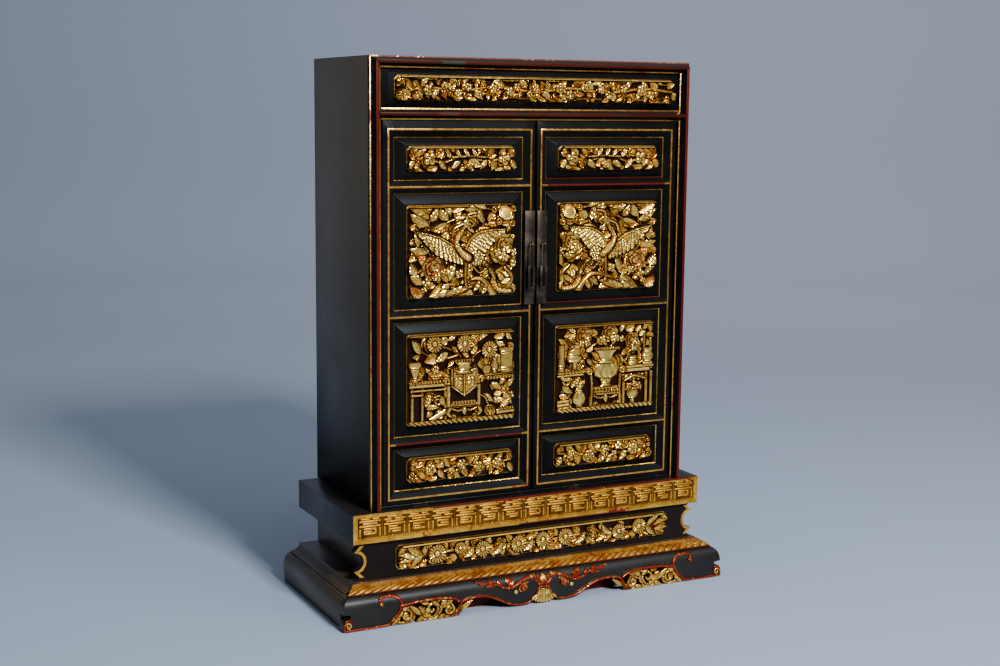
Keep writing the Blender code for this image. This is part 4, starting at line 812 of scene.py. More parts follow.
def carve(block, area, within, top, red=0.0, moat=0.75):
    """Lay a form over what is there, with a sunk moat round it: within is the distance inside its outline."""
    heights = block["h"][area]
    heights[(within <= 0) & (within > -moat)] *= 0.25
    on = within > 0
    heights[on] = np.clip(top, LOWEST, CREST)[on]
    block["red"][area][on] = red


def smooth_line(points, steps=6):
    """Points along a smooth curve through the given ones."""
    if len(points) == 2:
        return points
    padded = [2 * points[0] - points[1], *points, 2 * points[-1] - points[-2]]
    line = []
    for a, b, c, d in zip(padded, padded[1:], padded[2:], padded[3:]):
        for k in range(steps):
            t = k / steps
            bend = (2 * a - 5 * b + 4 * c - d) * t**2 + (3 * b - a - 3 * c + d) * t**3
            line.append(0.5 * (2 * b + (c - a) * t + bend))
    return [*line, points[-1]]


# %% Stems, bars and scrolls
def stem(block, points, widths, level, flat=0.45, red=0.0, scales=0.0, square=False, moat=0.75):
    """A rounded band along a curve, from its first width to its last."""
    line = smooth_line(line_on(block, points))
    middle = (np.min(line, axis=0) + np.max(line, axis=0)) / 2
    area, right, up = window(block, middle, np.max(np.abs(np.array(line) - middle)) + max(widths))
    best = np.full(right.shape, FAR)
    along = np.zeros(right.shape)
    aside = np.zeros(right.shape)
    lengths = [float(np.hypot(*(b - a))) for a, b in zip(line, line[1:])]
    total = sum(lengths)
    done = 0.0
    for a, b, length in zip(line, line[1:], lengths):
        axis = (b - a) / length
        from_x = right + middle[0] - a[0]
        from_z = up + middle[1] - a[1]
        ahead = from_x * axis[0] + from_z * axis[1]
        beside = from_z * axis[0] - from_x * axis[1]
        held = np.clip(ahead, 0.0, length)
        over = np.abs(ahead - held)
        distance = np.maximum(np.abs(beside), over) if square else np.hypot(beside, over)
        nearer = distance < best
        best[nearer] = distance[nearer]
        along[nearer] = ((done + held) / total)[nearer]
        aside[nearer] = beside[nearer]
        done += length
    half = np.interp(along, np.linspace(0.0, 1.0, len(widths)), np.array(widths) / 2)
    share = np.clip(best / np.maximum(half, 0.1), 0.0, 1.0)
    top = level * (1.0 - flat * share**2)
    if scales:
        turned = along * total / scales + 0.5 * np.floor(aside / scales * 1.6)
        top = top + 1.1 * np.abs(np.sin(np.pi * turned)) - 0.8
    carve(block, area, half - best, top, red, moat)


def stems(block, paths, widths, level, **choices):
    """Several stems that are alike."""
    for points in paths:
        stem(block, points, widths, level, **choices)


def bar(block, start, end, width, level, red=0.0):
    """A straight flat bar with square ends."""
    stem(block, (start, end), (width, width), level, flat=0.18, red=red, square=True)


def scroll(block, place, radius, level, width, turns=1.2, turn=0.0, hand=1, red=0.0):
    """A curling band, such as a cloud or a tendril."""
    place = on_block(block, place)
    points = []
    for share in np.arange(7) / 6:
        points.append(around(place, radius * (1 - 0.72 * share), turn + hand * 2 * np.pi * turns * share))
    stem(block, points, (width * 0.6, width, width * 0.9), level, red=red)


# %% Beads, leaves and feathers
def along(block, start, end, spare, share=0.5):
    """The grid near a straight axis: its offsets along and across the axis, and the axis's length."""
    start = on_block(block, start)
    end = on_block(block, end)
    length = float(np.hypot(*(end - start)))
    axis = (end - start) / length
    area, right, up = window(block, (start + end) / 2, length * share + spare)
    return area, right * axis[0] + up * axis[1], up * axis[0] - right * axis[1], length


def beads(block, start, end, size, level, pitch=0.0, lean=0.0, red=0.0):
    """A straight row of beads, or of rope turns when it leans."""
    area, s, t, length = along(block, start, end, size)
    s = s + length / 2
    turns = max(1, round(length / (pitch or size)))
    wave = np.abs(np.sin(np.pi * ((s + lean * t) * turns / length)))
    top = level * (0.45 + 0.55 * wave**0.8) - 0.4 * (t / size * 2) ** 2
    within = np.where((s < 0) | (s > length), OUTSIDE, size / 2 * (0.55 + 0.45 * wave**0.5) - np.abs(t))
    carve(block, area, within, top, red)


def leaf(block, root, tip, width, level, bend=0.0, tilt=0.0, veins=5, hollow=False, red=0.0):
    """A pointed leaf with a midrib, side veins and a tilt that makes one half higher."""
    area, s, t, length = along(block, root, tip, width, 0.55)
    s = s / length + 0.5
    t = t - 4 * bend * length * s * (1 - s)
    held = np.clip(s, 0.0, 1.0)
    half = width / 2 * np.sin(np.pi * held**0.8) ** 0.85
    within = np.where((s < 0) | (s > 1), OUTSIDE, half - np.abs(t))
    share = np.clip(np.abs(t) / np.maximum(half, 0.2), 0.0, 1.0)
    curve = 0.72 + 0.28 * share**2 if hollow else 1.0 - 0.30 * share**2
    top = level * curve + tilt * t - 0.8 * groove(t, 0.55) * np.sin(np.pi * held)
    top = top + 0.20 * np.sin(2 * np.pi * (held * veins - share * 0.9)) * (share > 0.12)
    carve(block, area, within, top, red)


def leaves(block, rows, width, level, **choices):
    """Several leaves that are alike, each row from root to tip."""
    for u0, v0, u1, v1 in rows:
        leaf(block, (u0, v0), (u1, v1), width, level, **choices)


def feather(block, root, tip, width, level, tilt=0.0):
    """A strap-like feather with a round end, a quill and barbs."""
    area, s, t, length = along(block, root, tip, width, 0.55)
    s = s / length + 0.5
    held = np.clip(s, 0.0, 1.0)
    half = width / 2 * np.sqrt(np.clip((1 - held) * length / width * 1.6, 0.0, 1.0))
    within = np.where((s < 0) | (s > 1), OUTSIDE, half - np.abs(t))
    top = level * (0.78 + 0.22 * held) - 1.5 * (t / width * 2) ** 2 + tilt * t - 0.7 * groove(t, 0.4)
    top = top + 0.30 * np.sin(2 * np.pi * (s * length / 1.9 - np.abs(t) / 1.9))
    carve(block, area, within, top, moat=0.25)


# %% Flat faces and sheets
def facet(block, corners, level, rise=0.0, red=0.0):
    """A flat face between convex corners, given in turn; rise tilts it up to the right."""
    corners = [on_block(block, corner) for corner in corners]
    middle = sum(corners) / len(corners)
    reach = max(float(np.hypot(*(corner - middle))) for corner in corners)
    area, right, up = window(block, middle, reach + 1)
    within = np.full(right.shape, FAR)
    for a, b in zip(corners, corners[1:] + corners[:1]):
        axis = (b - a) / np.hypot(*(b - a))
        beside = (up + middle[1] - a[1]) * axis[0] - (right + middle[0] - a[0]) * axis[1]
        inward = (middle[1] - a[1]) * axis[0] - (middle[0] - a[0]) * axis[1]
        within = np.minimum(within, beside * np.sign(inward))
    carve(block, area, within, level + rise * right, red)


def box_mean(values, reach):
    """The mean of each value's neighbours within a square."""
    size = 2 * reach + 1
    for axis in (0, 1):
        borders = [(0, 0), (0, 0)]
        borders[axis] = (reach + 1, reach)
        sums = np.cumsum(np.pad(values, borders, mode="edge"), axis=axis)
        count = sums.shape[axis]
        values = (np.take(sums, range(size, count), axis) - np.take(sums, range(count - size), axis)) / size
    return values


def sheet(block, front, back, height_of, moat=3):
    """A curved sheet between two lines with a dark gap round it; height_of gives its height and its end."""
    s, t = np.meshgrid(np.linspace(0.0, 1.0, 360), np.linspace(0.0, 1.0, 240))
    edges = []
    for line in (np.array(front), np.array(back)):
        steps = np.linspace(0.0, 1.0, len(line))
        edges.append([np.interp(s, steps, line[:, axis]) for axis in (0, 1)])
    x, z = (edges[0][axis] * (1 - t) + edges[1][axis] * t for axis in (0, 1))
    top, kept = height_of(s, t)
    columns = np.clip(np.searchsorted(block["x"], x), 0, len(block["x"]) - 1)[kept]
    rows = np.clip(np.searchsorted(block["z"], z), 0, len(block["z"]) - 1)[kept]
    covered = np.zeros(block["h"].shape)
    covered[rows, columns] = 1.0
    block["h"][box_mean(covered, moat) > 0.02] *= 0.2
    block["h"][rows, columns] = np.clip(top, LOWEST, CREST)[kept]
    block["red"][rows, columns] = 0.0


# %% Flowers
def disc(block, place, radius, level, ring=True, red=0.0, dome=0.14, tilt=0.0, moat=0.75):
    """A round boss, nearly flat or domed, which can have a groove near its rim and can face upwards."""
    area, right, up = window(block, on_block(block, place), radius * 1.05)
    reach = np.hypot(right, up)
    top = level * (1.0 - dome + dome * round_share(reach / radius)) - tilt * up
    if ring:
        top = top - 0.7 * groove(reach - 0.78 * radius, 0.4)
    carve(block, area, radius - reach, top, red, moat)


def blossom(block, place, radius, level, petals=5, turn=0.3, red=0.0):
    """An open flower: round petals that stand like small cushions, and a round heart."""
    place = on_block(block, place)
    size = radius * (0.50 if petals < 5 else 0.46 if petals == 5 else 0.40)
    for k in range(petals):
        spot = around(place, 0.56 * radius, turn + 2 * np.pi * k / petals)
        disc(block, spot, size, level, ring=False, red=red, dome=0.40, moat=0.5)
    disc(block, place, 0.27 * radius, level * 1.04, ring=False, dome=0.40, moat=0.4)


def daisy(block, place, radius, level, petals=15, turn=0.0, red=0.0):
    """A chrysanthemum: long narrow petals round a grained button."""
    area, right, up = window(block, on_block(block, place), radius * 1.05)
    reach = np.hypot(right, up)
    phase = (np.arctan2(up, right) - turn) * petals / (2 * np.pi)
    edge = np.abs(2 * (phase - np.floor(phase)) - 1)
    rim = radius * (1 - 0.16 * edge**2)
    share = reach / radius
    split = 2.6 * edge**4 * np.clip(share * 1.5 - 0.3, 0, 1)
    top = level * (0.66 + 0.14 * share) + (1 - edge**2) - split
    middle = 0.36 * radius
    grain = 0.30 * np.sign(np.sin(right * 2.6) * np.sin(up * 2.6))
    top = np.where(reach < middle, level * (0.70 + 0.30 * round_share(reach / middle)) + grain, top)
    top = np.where(np.abs(reach - middle) < 0.4, level * 0.40, top)
    carve(block, area, rim - reach, top, red, moat=1.1)


def petal(block, place, radius, level, lean, red=0.0, squash=0.85):
    """One broad cupped petal that opens in the direction of lean."""
    area, right, up = window(block, place, radius * 1.2)
    out = right * math.cos(lean) + up * math.sin(lean)
    side = up * math.cos(lean) - right * math.sin(lean)
    reach = np.hypot(out / squash, side)
    frill = radius * (1 + 0.06 * np.cos(5 * np.arctan2(side, out)))
    share = np.clip(reach / frill, 0.0, 1.0)
    top = level * (0.74 + 0.20 * share**2 + 0.14 * np.clip(out / radius, -1, 1))
    top = top - 0.30 * groove(side, 0.18 * radius) * share
    carve(block, area, frill - reach, top, red)


def peony(block, place, radius, level, turn=0.0, red=0.0, petals=6):
    """A full flower: broad petals in three rings, laid from the outside in."""
    place = on_block(block, place)
    for ring, (share, count, rise) in enumerate(((0.62, petals, 0.80), (0.38, 5, 0.92), (0.14, 3, 1.0))):
        for k in range(count):
            lean = turn + ring * 0.5 + 2 * np.pi * k / count
            spot = around(place, share * radius, lean)
            petal(block, spot, radius * (0.42 - 0.09 * ring), level * rise, lean,
                red=red if k % 2 else red * 0.4)
    blossom(block, place, radius * 0.20, level * 1.02, petals=4, turn=turn)


# %% Vessels
def vessel(block, foot, profile, level, lobes=0, bands=(), red=0.0):
    """A turned pot from the heights and half widths of its stations, in turn, above its foot."""
    rises, halves = np.reshape(np.array(profile, float), (-1, 2)).T
    tall = rises[-1]
    reach = max(tall, halves.max()) * 0.75 + 1
    area, right, up = window(block, on_block(block, foot) + (0.0, tall / 2), reach)
    rise = up + tall / 2
    half = np.interp(rise, rises, halves)
    within = np.minimum(half - np.abs(right), np.minimum(rise, tall - rise))
    across = np.clip(right / np.maximum(half, 0.2), -1.0, 1.0)
    top = level * (0.62 + 0.38 * round_share(across))
    if lobes:
        top = top - 0.9 * np.abs(np.sin(lobes * np.arcsin(across) / 2)) ** 3
    for band in bands:
        top = top - 1.2 * groove(rise - band, 0.45) + 0.5 * groove(rise - band - 1.1, 0.5)
    carve(block, area, within, top, red)

# %% Leaves that fill the gaps
COARSE = 4
EDGE_SPARE = 3.0
BORDER = 0.3


def fill_gaps(block, count, width, level, seed, smallest=3.0):
    """Leaves that spring from the forms nearby into the widest gaps, widest gap first."""
    x, z = np.meshgrid(block["x"][::COARSE], block["z"][::COARSE])
    rows, columns = np.nonzero(block["h"][::2, ::2] > 0)
    solid = np.column_stack((block["x"][::2][columns], block["z"][::2][rows]))
    free = np.full(x.shape, FAR)
    nearest = np.zeros(x.shape + (2,))
    for chunk in np.array_split(solid, max(1, len(solid) // 1500)):
        distance = np.hypot(x[..., None] - chunk[:, 0], z[..., None] - chunk[:, 1])
        best = distance.argmin(axis=2)
        least = distance.min(axis=2)
        nearer = least < free
        free[nearer] = least[nearer]
        nearest[nearer] = chunk[best[nearer]]
    far_corner = np.array((block["x"][-1], block["z"][-1]))
    to_edge = EDGE_SPARE + np.minimum(np.minimum(x, far_corner[0] - x), np.minimum(z, far_corner[1] - z))
    random = np.random.default_rng(seed)
    for k in range(count):
        room = np.minimum(free, to_edge)
        row, column = np.unravel_index(room.argmax(), room.shape)
        gap = room[row, column]
        if gap < smallest:
            break
        centre = np.array((x[row, column], z[row, column]))
        root = nearest[row, column] + random.normal(0.0, 0.4, 2)
        out = centre - root
        tip = np.clip(centre + out / max(np.hypot(*out), 0.1) * gap * 1.15, BORDER, far_corner - BORDER)
        broad = min(width, gap * 2.1)
        rise = level * random.uniform(0.85, 1.1)
        across = np.array((root[1] - tip[1], tip[0] - root[0])) * 0.42
        for side in (-1, 1):
            lobe = np.clip(root + (tip - root) * 0.62 + across * side, BORDER, far_corner - BORDER)
            leaf(block, root, lobe, broad * 0.62, rise * 0.86, bend=0.12 * side, tilt=0.2 * side, veins=2)
        bend = random.uniform(-0.12, 0.12)
        leaf(block, root, tip, broad * 0.74, rise, bend=bend, tilt=random.uniform(-0.35, 0.35), veins=2,
             hollow=k % 2 == 0, red=0.6 if k % 8 == 5 else 0.0)
        for share in (0.2, 0.5, 0.8):
            point = root + (tip - root) * share
            distance = np.hypot(x - point[0], z - point[1]) - broad * 0.36
            nearer = distance < free
            free[nearer] = np.maximum(distance, 0.0)[nearer]
            nearest[nearer] = point

# %% [markdown]
# ## What is carved on each block
#
# The upper blocks hold a phoenix in flight between peonies, the lower ones a flower vase among small
# vessels on stands, and the narrow ones sprays of blossom. What lies behind is carved first.

# %% Phoenix
def wing(block, leading, trailing, feathers):
    """A spread wing as one sheet: three rows of feathers from the leading to the trailing edge."""
    front = smooth_line(line_on(block, leading), 12)
    back = smooth_line(line_on(block, trailing), 12)

    def plumage(s, t):
        row = np.minimum(np.floor(t * 3), 2)
        phase = (s * feathers * (1.5 - 0.25 * row) + 0.5 * row) % 1
        edge = np.abs(2 * phase - 1)
        barbs = 0.25 * np.sin(40 * np.pi * t)
        top = 4.5 + 0.9 * (1 - t) + 0.9 * (0.5 - phase) + 0.9 * (t * 3 - row) - 2 * edge**5 + barbs
        return top, t < 1 - 0.15 * edge**2

    sheet(block, front, back, plumage)
    stem(block, leading, (2.8, 2.4, 1.2), 6, scales=1.6, moat=0.4)


def phoenix_block(width, height):
    """A phoenix in flight between leaves, peonies and small blossoms, with the sun in one corner."""
    block = blank_block(width, height)
    stems(block, [(.13, .04, .20, .20, .34, .15, .37, .40), (.34, .15, .50, .10, .70, .20, .86, .14),
        (.18, .70, .19, .84, .24, .97), (.18, .74, .36, .82, .52, .90, .68, .96, .84, .93),
        (.70, .80, .82, .74, .92, .68, .97, .50), (.18, .50, .12, .60, .16, .76),
        (.74, .34, .86, .22, .97, .30, .98, .44), (.62, .30, .70, .18, .66, .04),
        (.84, .03, .97, .20, .94, .30), (.02, .02, .02, .14), (.09, .28, .20, .42, .17, .52)], (2.6, 1.8),
        3.4)
    spray = [(.182, .874, .012, .979, 10, .25), (.182, .79, .008, .924, 9, -.3),
        (.20, .832, .262, .985, 8, .2), (.357, .807, .19, .742, 8, -.2), (.078, .56, .055, .785, 8, .25),
        (.178, .50, .0, .546, 9, -.3), (.178, .50, .116, .63, 5, .2), (.07, .26, .012, .39, 9, .3),
        (.11, .145, .008, .245, 8, -.3), (.124, .03, .008, .13, 9, .2), (.163, .361, .075, .46, 9, .2),
        (.357, .176, .434, .372, 9, -.3), (.357, .16, .256, .277, 5, .2), (.341, .151, .18, .012, 10, .25),
        (.372, .151, .30, .005, 8, -.25), (.434, .84, .485, .99, 8, .25), (.651, .872, .50, .985, 9, -.25),
        (.70, .80, .655, .985, 7, .2), (.737, .82, .80, .93, 9, .25), (.357, .84, .285, .975, 8, -.2),
        (.737, .80, .86, .79, 6, .2), (.40, .93, .56, .99, 6, .2), (.72, .96, .60, .995, 5, -.2),
        (.92, .70, .985, .80, 6, .2), (.86, .79, .97, .83, 6, -.3), (.93, .66, .80, .70, 5, .2),
        (.84, .36, .76, .44, 6, .25), (.97, .30, .80, .26, 10, .2), (.97, .30, .99, .45, 7, -.2),
        (.90, .16, .84, .26, 6, .2), (.93, .18, .995, .05, 8, -.25), (.66, .05, .735, .20, 8, .25),
        (.20, .30, .10, .24, 7, -.2), (.46, .20, .50, .31, 7, .2), (.50, .10, .60, .02, 8, .25),
        (.66, .12, .56, .17, 6, -.2), (.28, .62, .22, .56, 6, .2), (.26, .02, .42, .03, 7, .2)]
    for index, (u0, v0, u1, v1, broad, tilt) in enumerate(spray):
        leaf(block, (u0, v0), (u1, v1), broad * 1.2, 4.4 + 0.9 * ((index * 7) % 5) / 4,
            bend=0.10 if index % 2 else -0.08, tilt=tilt, veins=4, hollow=index % 3 == 0,
            red=0.8 if index in (9, 10, 36) else 0)
    stem(block, (.55, .18, .68, .18, .80, .02), (3.4, 6, 9), 4.6, flat=0.6)
    stem(block, (.90, .30, .97, .20, .93, .06), (4, 5, 10), 4.8, flat=0.6)
    leaves(block, ((.66, .16, .60, .05), (.72, .12, .68, .01), (.95, .18, .86, .12), (.97, .12, .99, .02)),
        7, 4.9, tilt=0.3, veins=3)
    for k in range(5):
        leaf(block, (.53 - .05 * k, .02), (.49 + .055 * (k - 2), .135 - .012 * abs(k - 2)), 9, 4.6,
            tilt=0.2 * (k - 2))
    fill_gaps(block, 40, 11, 4.2, seed=0, smallest=2.9)
    bar(block, (.0, .99), (.55, .99), 1.3, 4.2, red=0.3)
    disc(block, (.905, .91), 7.8, 4.3, tilt=0.34)
    for u, v, turn, hand in ((.80, .945, 0, 1), (.965, .79, 2, -1), (.84, .82, 4, 1), (.985, .96, 1, -1)):
        scroll(block, (u, v), 4.2, 4.8, 2.4, turn=turn, hand=hand)
    wing(block, (.47, .50, .36, .60, .23, .675, .07, .72), (.50, .345, .385, .385, .24, .47, .075, .69), 10)
    wing(block, (.52, .50, .575, .64, .70, .715, .90, .73), (.63, .40, .73, .50, .81, .62, .895, .70), 9)
    peony(block, (.885, .56), 12, 5.6, turn=0.4, red=0.25)
    peony(block, (.215, .325), 12.5, 5.8, turn=0.9, red=0.95)
    for u, v, size in ((.155, .165, 5.4), (.26, .22, 4.6), (.465, .25, 5.2), (.575, .345, 4.4),
            (.905, .415, 4.6), (.83, .475, 4.6), (.985, .47, 4.4), (.32, .275, 4.2), (.135, .09, 3.6)):
        blossom(block, (u, v), size, 5.5, petals=4, turn=u * 9)
    for k in range(9):
        share = k / 8
        leaf(block, (.66, .41), (.735 - .10 * share, .40 - .13 * math.sin(math.pi * (share * 0.6 + 0.25))),
            4.5, 4.9, tilt=0.2, veins=2)
    disc(block, (.63, .42), 8.6, 5.6, ring=False)
    for ring, count in ((6.2, 10), (3.3, 6), (0, 1)):
        for k in range(count):
            angle = 2 * math.pi * k / count + ring
            spot = around(on_block(block, (.63, .42)), ring, angle)
            disc(block, spot, 1.75, 6.1, ring=False)
    stem(block, (.70, .36, .785, .24, .80, .13, .85, .05, .955, .035), (6.4, 6.4, 5.4), 5.6, flat=0.6,
        scales=2.8)
    for k in range(4):
        leaf(block, (.745 + .02 * k, .315 - .05 * k), (.70 + .02 * k, .36 - .02 * k), 3.4, 5.9, tilt=0.3,
            veins=2)
    stem(block, (.595, .33, .655, .255, .72, .30), (2.2, 2), 5)
    stem(block, (.53, .45, .525, .28, .523, .12), (4.2, 2.4), 5.2, flat=0.5)
    for lean in (-.5, 0, .5):
        leaf(block, (.523, .135), (.523 + .05 * lean, .085), 3, 5.2)
    body = (.525, .79, .475, .70, .44, .60, .475, .50, .555, .42)
    stem(block, body, (4.4, 6.6, 9), 6, flat=0.6, scales=2.4, moat=1.4)
    stems(block, ((.52, .82, .44, .80, .385, .70), (.50, .80, .42, .755, .40, .67),
        (.53, .84, .55, .90, .62, .92)), (3.6, 2.6), 5.3)
    disc(block, (.53, .80), 4.3, 6, ring=False)
    disc(block, (.535, .80), 1.3, 6.1)
    leaf(block, (.535, .775), (.605, .695), 4.6, 5.9)
    leaf(block, (.50, .75), (.475, .66), 3.4, 5.6)
    stem(block, (.56, .84, .60, .80, .57, .76), (2.4, 2), 5.7)
    return block


# %% Leaves round a vase, stands and tables
def flower_leaves(block, rows):
    """The leaves round the flowers in a vase: root, tip, width and tilt in each row."""
    for index, (u0, v0, u1, v1, broad, tilt) in enumerate(rows):
        bend = 0.08 if index % 2 else -0.08
        leaf(block, (u0, v0), (u1, v1), broad, 4.5 + 0.4 * (index % 3), bend, tilt, 4, index % 3 == 0)


def low_stand(block, left, right, foot, top):
    """A low stand: a top rail, bowed legs and a cusped apron between them."""
    bar(block, (left, top), (right, top), 3.2, 5)
    middle = (left + right) / 2
    for side, x in ((1, left), (-1, right)):
        bow = [(x + .02 * side, top - .01), (x - .012 * side, (top + foot) / 2),
            (x + .03 * side, foot + .01)]
        stem(block, bow, (4.6, 4.2, 3.2), 5.2, flat=0.3)
        scroll(block, (x + .05 * side, foot + .025), 2.6, 4.8, 1.9, turn=1.5, hand=side)
        stem(block, (x + .03 * side, top - .03, x + .09 * side, top - .055, middle, top - .03), (2.4, 2),
            4.7)
    stem(block, (left + .02, foot, right - .02, foot), (2.6, 2.6), 4.9, flat=0.3)
    leaf(block, (middle, top - .01), (middle, foot + .035), 6, 5.4)


def table(block, left, right, foot, top, level=4.6, legs=(0, 1)):
    """A tall side table: a thick top with a thin rail under it, and square legs."""
    for share in legs:
        x = left + (right - left) * share
        bar(block, (x, foot), (x, top), 3, level)
    bar(block, (left - .01, top - .055), (right + .01, top - .055), 2, level - 0.5)
    bar(block, (left - .02, top), (right + .02, top), 3.6, level + 0.8)


# %% Antiques on the left door
def antiques_left_block(width, height):
    """A flower vase on stands between two tables with small vessels, and chrysanthemums above."""
    block = blank_block(width, height)
    stems(block, ((.50, .66, .46, .78, .24, .90), (.52, .66, .52, .88), (.55, .66, .66, .78, .76, .80),
        (.46, .76, .30, .72, .14, .80, .04, .92), (.76, .80, .86, .92, .97, .97),
        (.86, .90, .93, .80, .99, .84), (.10, .97, .40, .98, .62, .96), (.10, .80, .08, .72)), (2.4, 1.8),
        3.6)
    flower_leaves(block, [(.29, .74, .14, .70, 11, .4), (.36, .79, .24, .70, 10, -.3),
        (.10, .80, .02, .95, 9, .25), (.10, .78, .03, .76, 5, .2), (.36, .93, .44, .99, 6, .2),
        (.64, .90, .74, .97, 8, .3), (.80, .93, .92, .99, 7, -.2), (.97, .90, .93, .99, 7, .3),
        (.80, .73, .92, .70, 8, .3), (.46, .80, .40, .86, 6, .2), (.58, .76, .64, .86, 6, -.2),
        (.90, .84, .82, .88, 7, -.3), (.15, .98, .06, .99, 5, .2), (.20, .60, .12, .64, 5, .2),
        (.28, .60, .22, .66, 6, .3), (.94, .86, .99, .78, 6, .2), (.66, .68, .70, .58, 6, .2),
        (.70, .60, .78, .56, 7, -.2), (.42, .70, .36, .62, 5, -.2), (.56, .73, .50, .82, 6, .2)])
    fill_gaps(block, 30, 10, 4.2, seed=5, smallest=2.8)
    block["h"][:int(len(block["z"]) * 0.47)] = 0
    table(block, .03, .34, .05, .44, legs=(0, 0.30, 1))
    bar(block, (.03, .335), (.125, .335), 2.2, 4.2)
    beads(block, (.0, .475), (.33, .475), 3.4, 5.2, red=0.4)
    vessel(block, (.055, .49), (0, 4.2, 2, 3, 5, 2.4, 12, 5.2, 16, 6.6, 19, 7.4, 21, 5.5), 5.2,
        bands=(3, 14), red=0.3)
    vessel(block, (.25, .50), (0, 4, 2, 5.2, 6, 9.5, 8, 9.8, 9, 8.5), 4.9, lobes=7, bands=(2.5,), red=0.6)
    blossom(block, (.245, .61), 5, 5.2, turn=.5)
    for u, v, turn, hand in ((.20, .30, 0.5, 1), (.27, .26, 2.5, -1), (.29, .12, 4, 1)):
        scroll(block, (u, v), 6.5, 4.6, 3.2, turn=turn, hand=hand)
    for k, (u0, v0, u1, v1) in enumerate(((.15, .20, .20, .36), (.16, .18, .28, .19), (.22, .13, .16, .09),
            (.33, .16, .24, .05), (.30, .31, .33, .20))):
        leaf(block, (u0, v0), (u1, v1), 8, 4.6, tilt=0.3 if k % 2 else -0.3)
    disc(block, (.285, .11), 5.2, 5)
    bar(block, (.21, .055), (.33, .135), 5, 5)
    beads(block, (.70, .475), (1, .485), 3.8, 5.3)
    bar(block, (.70, .515), (1, .525), 2.2, 5)
    vessel(block, (.925, .53), (0, 9, 3, 8.2, 12, 7.6, 22, 8, 27, 9), 5, bands=(4, 22))
    bar(block, (.85, .56), (.85, .72), 3, 5.3)
    vessel(block, (.81, .53), (0, 3.4, 2, 2.2, 6, 4.6, 10, 3.8, 14, 1.8, 17, 3), 5.1, bands=(3,), red=0.4)
    vessel(block, (.735, .53), (0, 3, 3, 5, 7, 5.4, 9, 4), 4.8)
    for k, (u, v, size) in enumerate(((.90, .34, 7), (.965, .26, 5), (.84, .24, 5.2), (.80, .38, 4.4),
            (.96, .40, 4.6))):
        blossom(block, (u, v), size, 5.2, petals=5, turn=k, red=0.7 if k in (1, 4) else 0.1)
    leaves(block, ((.78, .42, .88, .33), (.88, .30, .80, .28), (.90, .30, .98, .16), (.94, .36, 1, .46),
        (.80, .20, .92, .22), (.86, .40, .92, .45), (.70, .30, .80, .20), (.95, .22, .86, .12)), 7.5, 4.8,
        tilt=0.3)
    stem(block, (.66, .30, .72, .26, .75, .18), (2.4, 2.4), 4.6)
    disc(block, (.765, .10), 7.2, 5.4)
    for lean in (-1, 0, 1):
        stem(block, (.765 + .022 * lean, .14, .765 + .045 * lean, .10, .765 + .022 * lean, .06), (1.8, 2.2),
            6)
    bar(block, (.85, .085), (1, .095), 5, 5)
    beads(block, (.85, .115), (1, .12), 3, 5.4)
    scroll(block, (.64, .12), 4, 4.8, 2.4, turn=3, hand=-1)
    low_stand(block, .375, .665, .045, .185)
    bar(block, (.365, .20), (.665, .20), 3, 5)
    beads(block, (.40, .225), (.63, .225), 3.6, 5.6, red=0.5)
    for x in (.37, .66):
        bar(block, (x, .20), (x, .47), 3.4, 5)
        scroll(block, (x + (.02 if x > .5 else -.02), .47), 4.4, 5.2, 3, turn=0 if x > .5 else 3.1,
            hand=1 if x > .5 else -1, red=0.3)
    bar(block, (.37, .44), (.66, .44), 2.6, 4.4)
    for side in (-1, 1):
        face = [(.517, .555), (.517 + .118 * side, .60), (.517 + .118 * side, .41), (.517, .30)]
        facet(block, face, 4.7, 0.10 * side, red=0.6 if side < 0 else 0.15)
        for a, b in zip(face, face[1:]):
            stem(block, [a, b], (1.9, 1.9), 6, flat=0.3)
        blossom(block, (.517 + .060 * side, .465), 5.2, 5.9, petals=4, turn=0.8, red=0.2)
    stem(block, (.517, .555, .517, .30), (1.9, 1.9), 6.1, flat=0.3)
    vessel(block, (.517, .55), (0, 9.5, 2, 8, 5, 6, 9, 6.6, 11, 8.8, 13, 11.5, 15, 11.8), 5.6,
        bands=(3, 11.5))
    beads(block, (.425, .695), (.61, .695), 3.2, 5.8, red=0.8)
    daisy(block, (.235, .90), 9.4, 5.8, red=0.5)
    disc(block, (.325, .93), 4.6, 5.2)
    daisy(block, (.52, .885), 9.6, 6, turn=0.2, red=0.3)
    leaf(block, (.57, .93), (.66, .97), 7, 5, tilt=.3)
    for k in range(5):
        feather(block, (.585, .90), (.67 - .012 * k, .955 - .03 * k), 3, 5, tilt=.1)
    daisy(block, (.755, .80), 9.2, 5.9, turn=0.1, red=0.35)
    beads(block, (.0, .022), (1, .022), 4.4, 5.8, pitch=6.4, lean=1, red=0.15)
    bar(block, (.0, .988), (1, .988), 1.5, 4.6, red=0.3)
    return block


